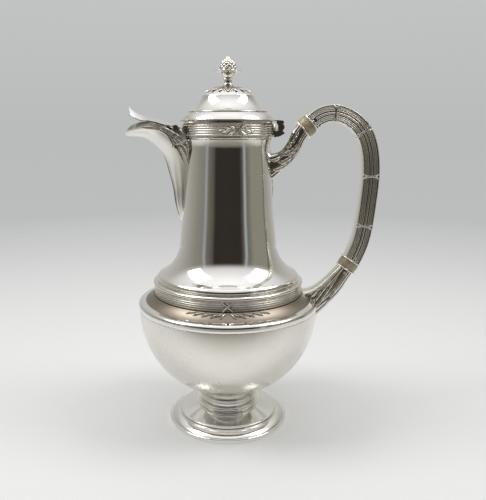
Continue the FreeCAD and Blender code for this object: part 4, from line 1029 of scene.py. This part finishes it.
floorRadii = np.array([0.0, 0.02, 0.2, 0.6, 1.2, 2.6])[:, None]
floorAngles = np.linspace(0, 2 * np.pi, 96, endpoint=False)[None, :]
floorGrid = np.stack([floorRadii * np.cos(floorAngles), floorRadii * np.sin(floorAngles),
                      0 * floorRadii * floorAngles], -1)
floorMesh = newMesh("floor", floorGrid.reshape(-1, 3), quadsOf(*floorGrid.shape[:2])[:, ::-1],
                    np.zeros(floorGrid[..., 0].size))
floor = bpy.data.objects.new("floor", floorMesh)
bpy.context.scene.collection.objects.link(floor)
floor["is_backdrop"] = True


def paperFinish():
    # Pale paper with a painted shadow that darkens it in front of the pot, towards the camera; it fades to
    # nothing far from it.
    material, tree, shader = surface("paper")
    place = node(tree, "TexCoord", {}, "Object")
    ahead = node(tree, "SeparateXYZ", {0: place}, "Y")
    # How far the painted shadow in front of the pot has come, from none to full.
    paintedShadowAhead = node(tree, "MapRange", {"Value": ahead, "From Min": -0.12, "From Max": -0.34})
    distance = node(tree, "VectorMath", {0: place}, "Value", operation="LENGTH")
    fade = node(tree, "MapRange", {"Value": distance, "From Min": 0.10, "From Max": 1.15})
    feed(tree, shader, {
        "Base Color": ramp(tree, paintedShadowAhead, [(0.0, (0.84, 0.84, 0.83)), (1.0, (0.40, 0.37, 0.32))]),
        "Roughness": 0.7,
        "Specular IOR Level": 0.2})
    clear = node(tree, "BsdfTransparent", {})
    faded = node(tree, "MixShader", {0: fade, 1: shader.outputs["BSDF"], 2: clear})
    feed(tree, tree.nodes["Material Output"], {"Surface": faded})
    return material


def bearing(degrees):
    # A bearing's place on the ramp, degrees / 360 + 1/2, where 0 degrees is towards the camera.
    return degrees / 360 + 0.5


def studioWorld():
    # What the silver mirrors: a ramp of room tones round the horizon under a white ceiling. The camera sees a
    # plain grey backdrop in its place, and diffuse light from it is dimmed.
    world = bpy.data.worlds.new("studio")
    bpy.context.scene.world = world
    world.use_nodes = True
    tree = world.node_tree
    tree.nodes.clear()
    direction = node(tree, "TexCoord", {}, "Generated")
    x, y, z = (node(tree, "SeparateXYZ", {0: direction}, axis) for axis in "XYZ")
    azimuth = maths(tree, "ARCTAN2", x, maths(tree, "MULTIPLY", y, -1.0))
    around = maths(tree, "ADD", maths(tree, "DIVIDE", azimuth, 2 * math.pi), 0.5)
    elevation = maths(tree, "MULTIPLY", maths(tree, "ARCSINE", z), 180 / math.pi)
    room = ramp(tree, around, [
        (bearing(-180), (0.60, 0.60, 0.58)), (bearing(-125), (0.42, 0.41, 0.38)),
        (bearing(-80), (0.26, 0.25, 0.22)), (bearing(-62), (0.22, 0.22, 0.20)),
        (bearing(-57), (0.36, 0.40, 0.42)), (bearing(-51), (0.16, 0.15, 0.13)),
        (bearing(-37), (0.10, 0.09, 0.075)), (bearing(-31), (0.030, 0.026, 0.023)),
        (bearing(-6), (0.035, 0.028, 0.022)), (bearing(30), (0.028, 0.025, 0.022)),
        (bearing(38), (0.10, 0.095, 0.08)), (bearing(43), (0.44, 0.49, 0.53)),
        (bearing(48), (0.14, 0.14, 0.12)), (bearing(62), (0.26, 0.25, 0.21)),
        (bearing(98), (0.26, 0.25, 0.21)), (bearing(104), (0.10, 0.09, 0.06)),
        (bearing(112), (0.34, 0.33, 0.29)), (bearing(180), (0.60, 0.60, 0.58))])
    ceiling = ramp(tree, maths(tree, "DIVIDE", elevation, 90.0), [
        (0.0, grey(0.50)), (0.45, grey(0.72)), (0.8, grey(1.05)), (1.0, grey(1.15))])
    upward = node(tree, "MapRange", {"Value": elevation, "From Min": 26.0, "From Max": 44.0},
                  interpolation_type="SMOOTHSTEP")
    backdrop = ramp(tree, maths(tree, "DIVIDE", maths(tree, "ADD", elevation, 30.0), 60.0), [
        (0.0, (0.70, 0.70, 0.69)), (0.22, (0.58, 0.59, 0.59)), (0.30, (0.51, 0.52, 0.52)),
        (0.5, (0.49, 0.50, 0.50)), (0.7, (0.54, 0.55, 0.55)), (1.0, (0.58, 0.58, 0.59))])
    tent = blended(tree, upward, room, ceiling)
    diffuse = node(tree, "LightPath", {}, "Is Diffuse Ray")
    dimmed = blended(tree, diffuse, tent, (0.78, 0.78, 0.79, 1.0), blend_type="MULTIPLY")
    both = blended(tree, node(tree, "LightPath", {}, "Is Camera Ray"), dimmed, backdrop)
    output = tree.nodes.new("ShaderNodeOutputWorld")
    feed(tree, output, {"Surface": node(tree, "Background", {"Color": both})})


def softbox(name, azimuth, elevation, power, distance=1.2, width=0.55, height=0.6):
    # A rectangular area light that looks at the pot's middle.
    a, e = math.radians(azimuth), math.radians(elevation)
    data = bpy.data.lights.new(name, "AREA")
    data.shape = "RECTANGLE"
    data.size, data.size_y = width, height
    data.energy = power
    lamp = bpy.data.objects.new(name, data)
    bpy.context.scene.collection.objects.link(lamp)
    back = np.array([math.sin(a) * math.cos(e), -math.cos(a) * math.cos(e), math.sin(e)])
    lamp.location = np.array([0, 0, 0.14]) + back * distance
    lamp.rotation_euler = (math.pi / 2 - e, 0, a)


floorMesh.materials.append(paperFinish())
studioWorld()
softbox("softboxLeft", -84, 51, 5.8)
softbox("softboxRight", 84, 51, 4.8)

view = {"distance": 413.5, "height": 219.1, "pitch": 11.86, "focal": 567.3, "frame": 500.0, "shift": 0.030}
cameraData = bpy.data.cameras.new("camera")
cameraData.sensor_width = 36.0
cameraData.lens = view["focal"] * 36.0 / view["frame"]
cameraData.shift_x = view["shift"]
cameraData.clip_start = 0.01
camera = bpy.data.objects.new("camera", cameraData)
bpy.context.scene.collection.objects.link(camera)
camera.location = (0, -view["distance"] * millimetre, view["height"] * millimetre)
camera.rotation_euler = (math.radians(90 - view["pitch"]), 0, 0)
bpy.context.scene.camera = camera
bpy.context.scene.view_settings.view_transform = "Standard"
print("stage, light and camera ready")

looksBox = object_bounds()
corners = {"cad": [list(corner) for corner in cadBox], "visual": [list(corner) for corner in looksBox]}
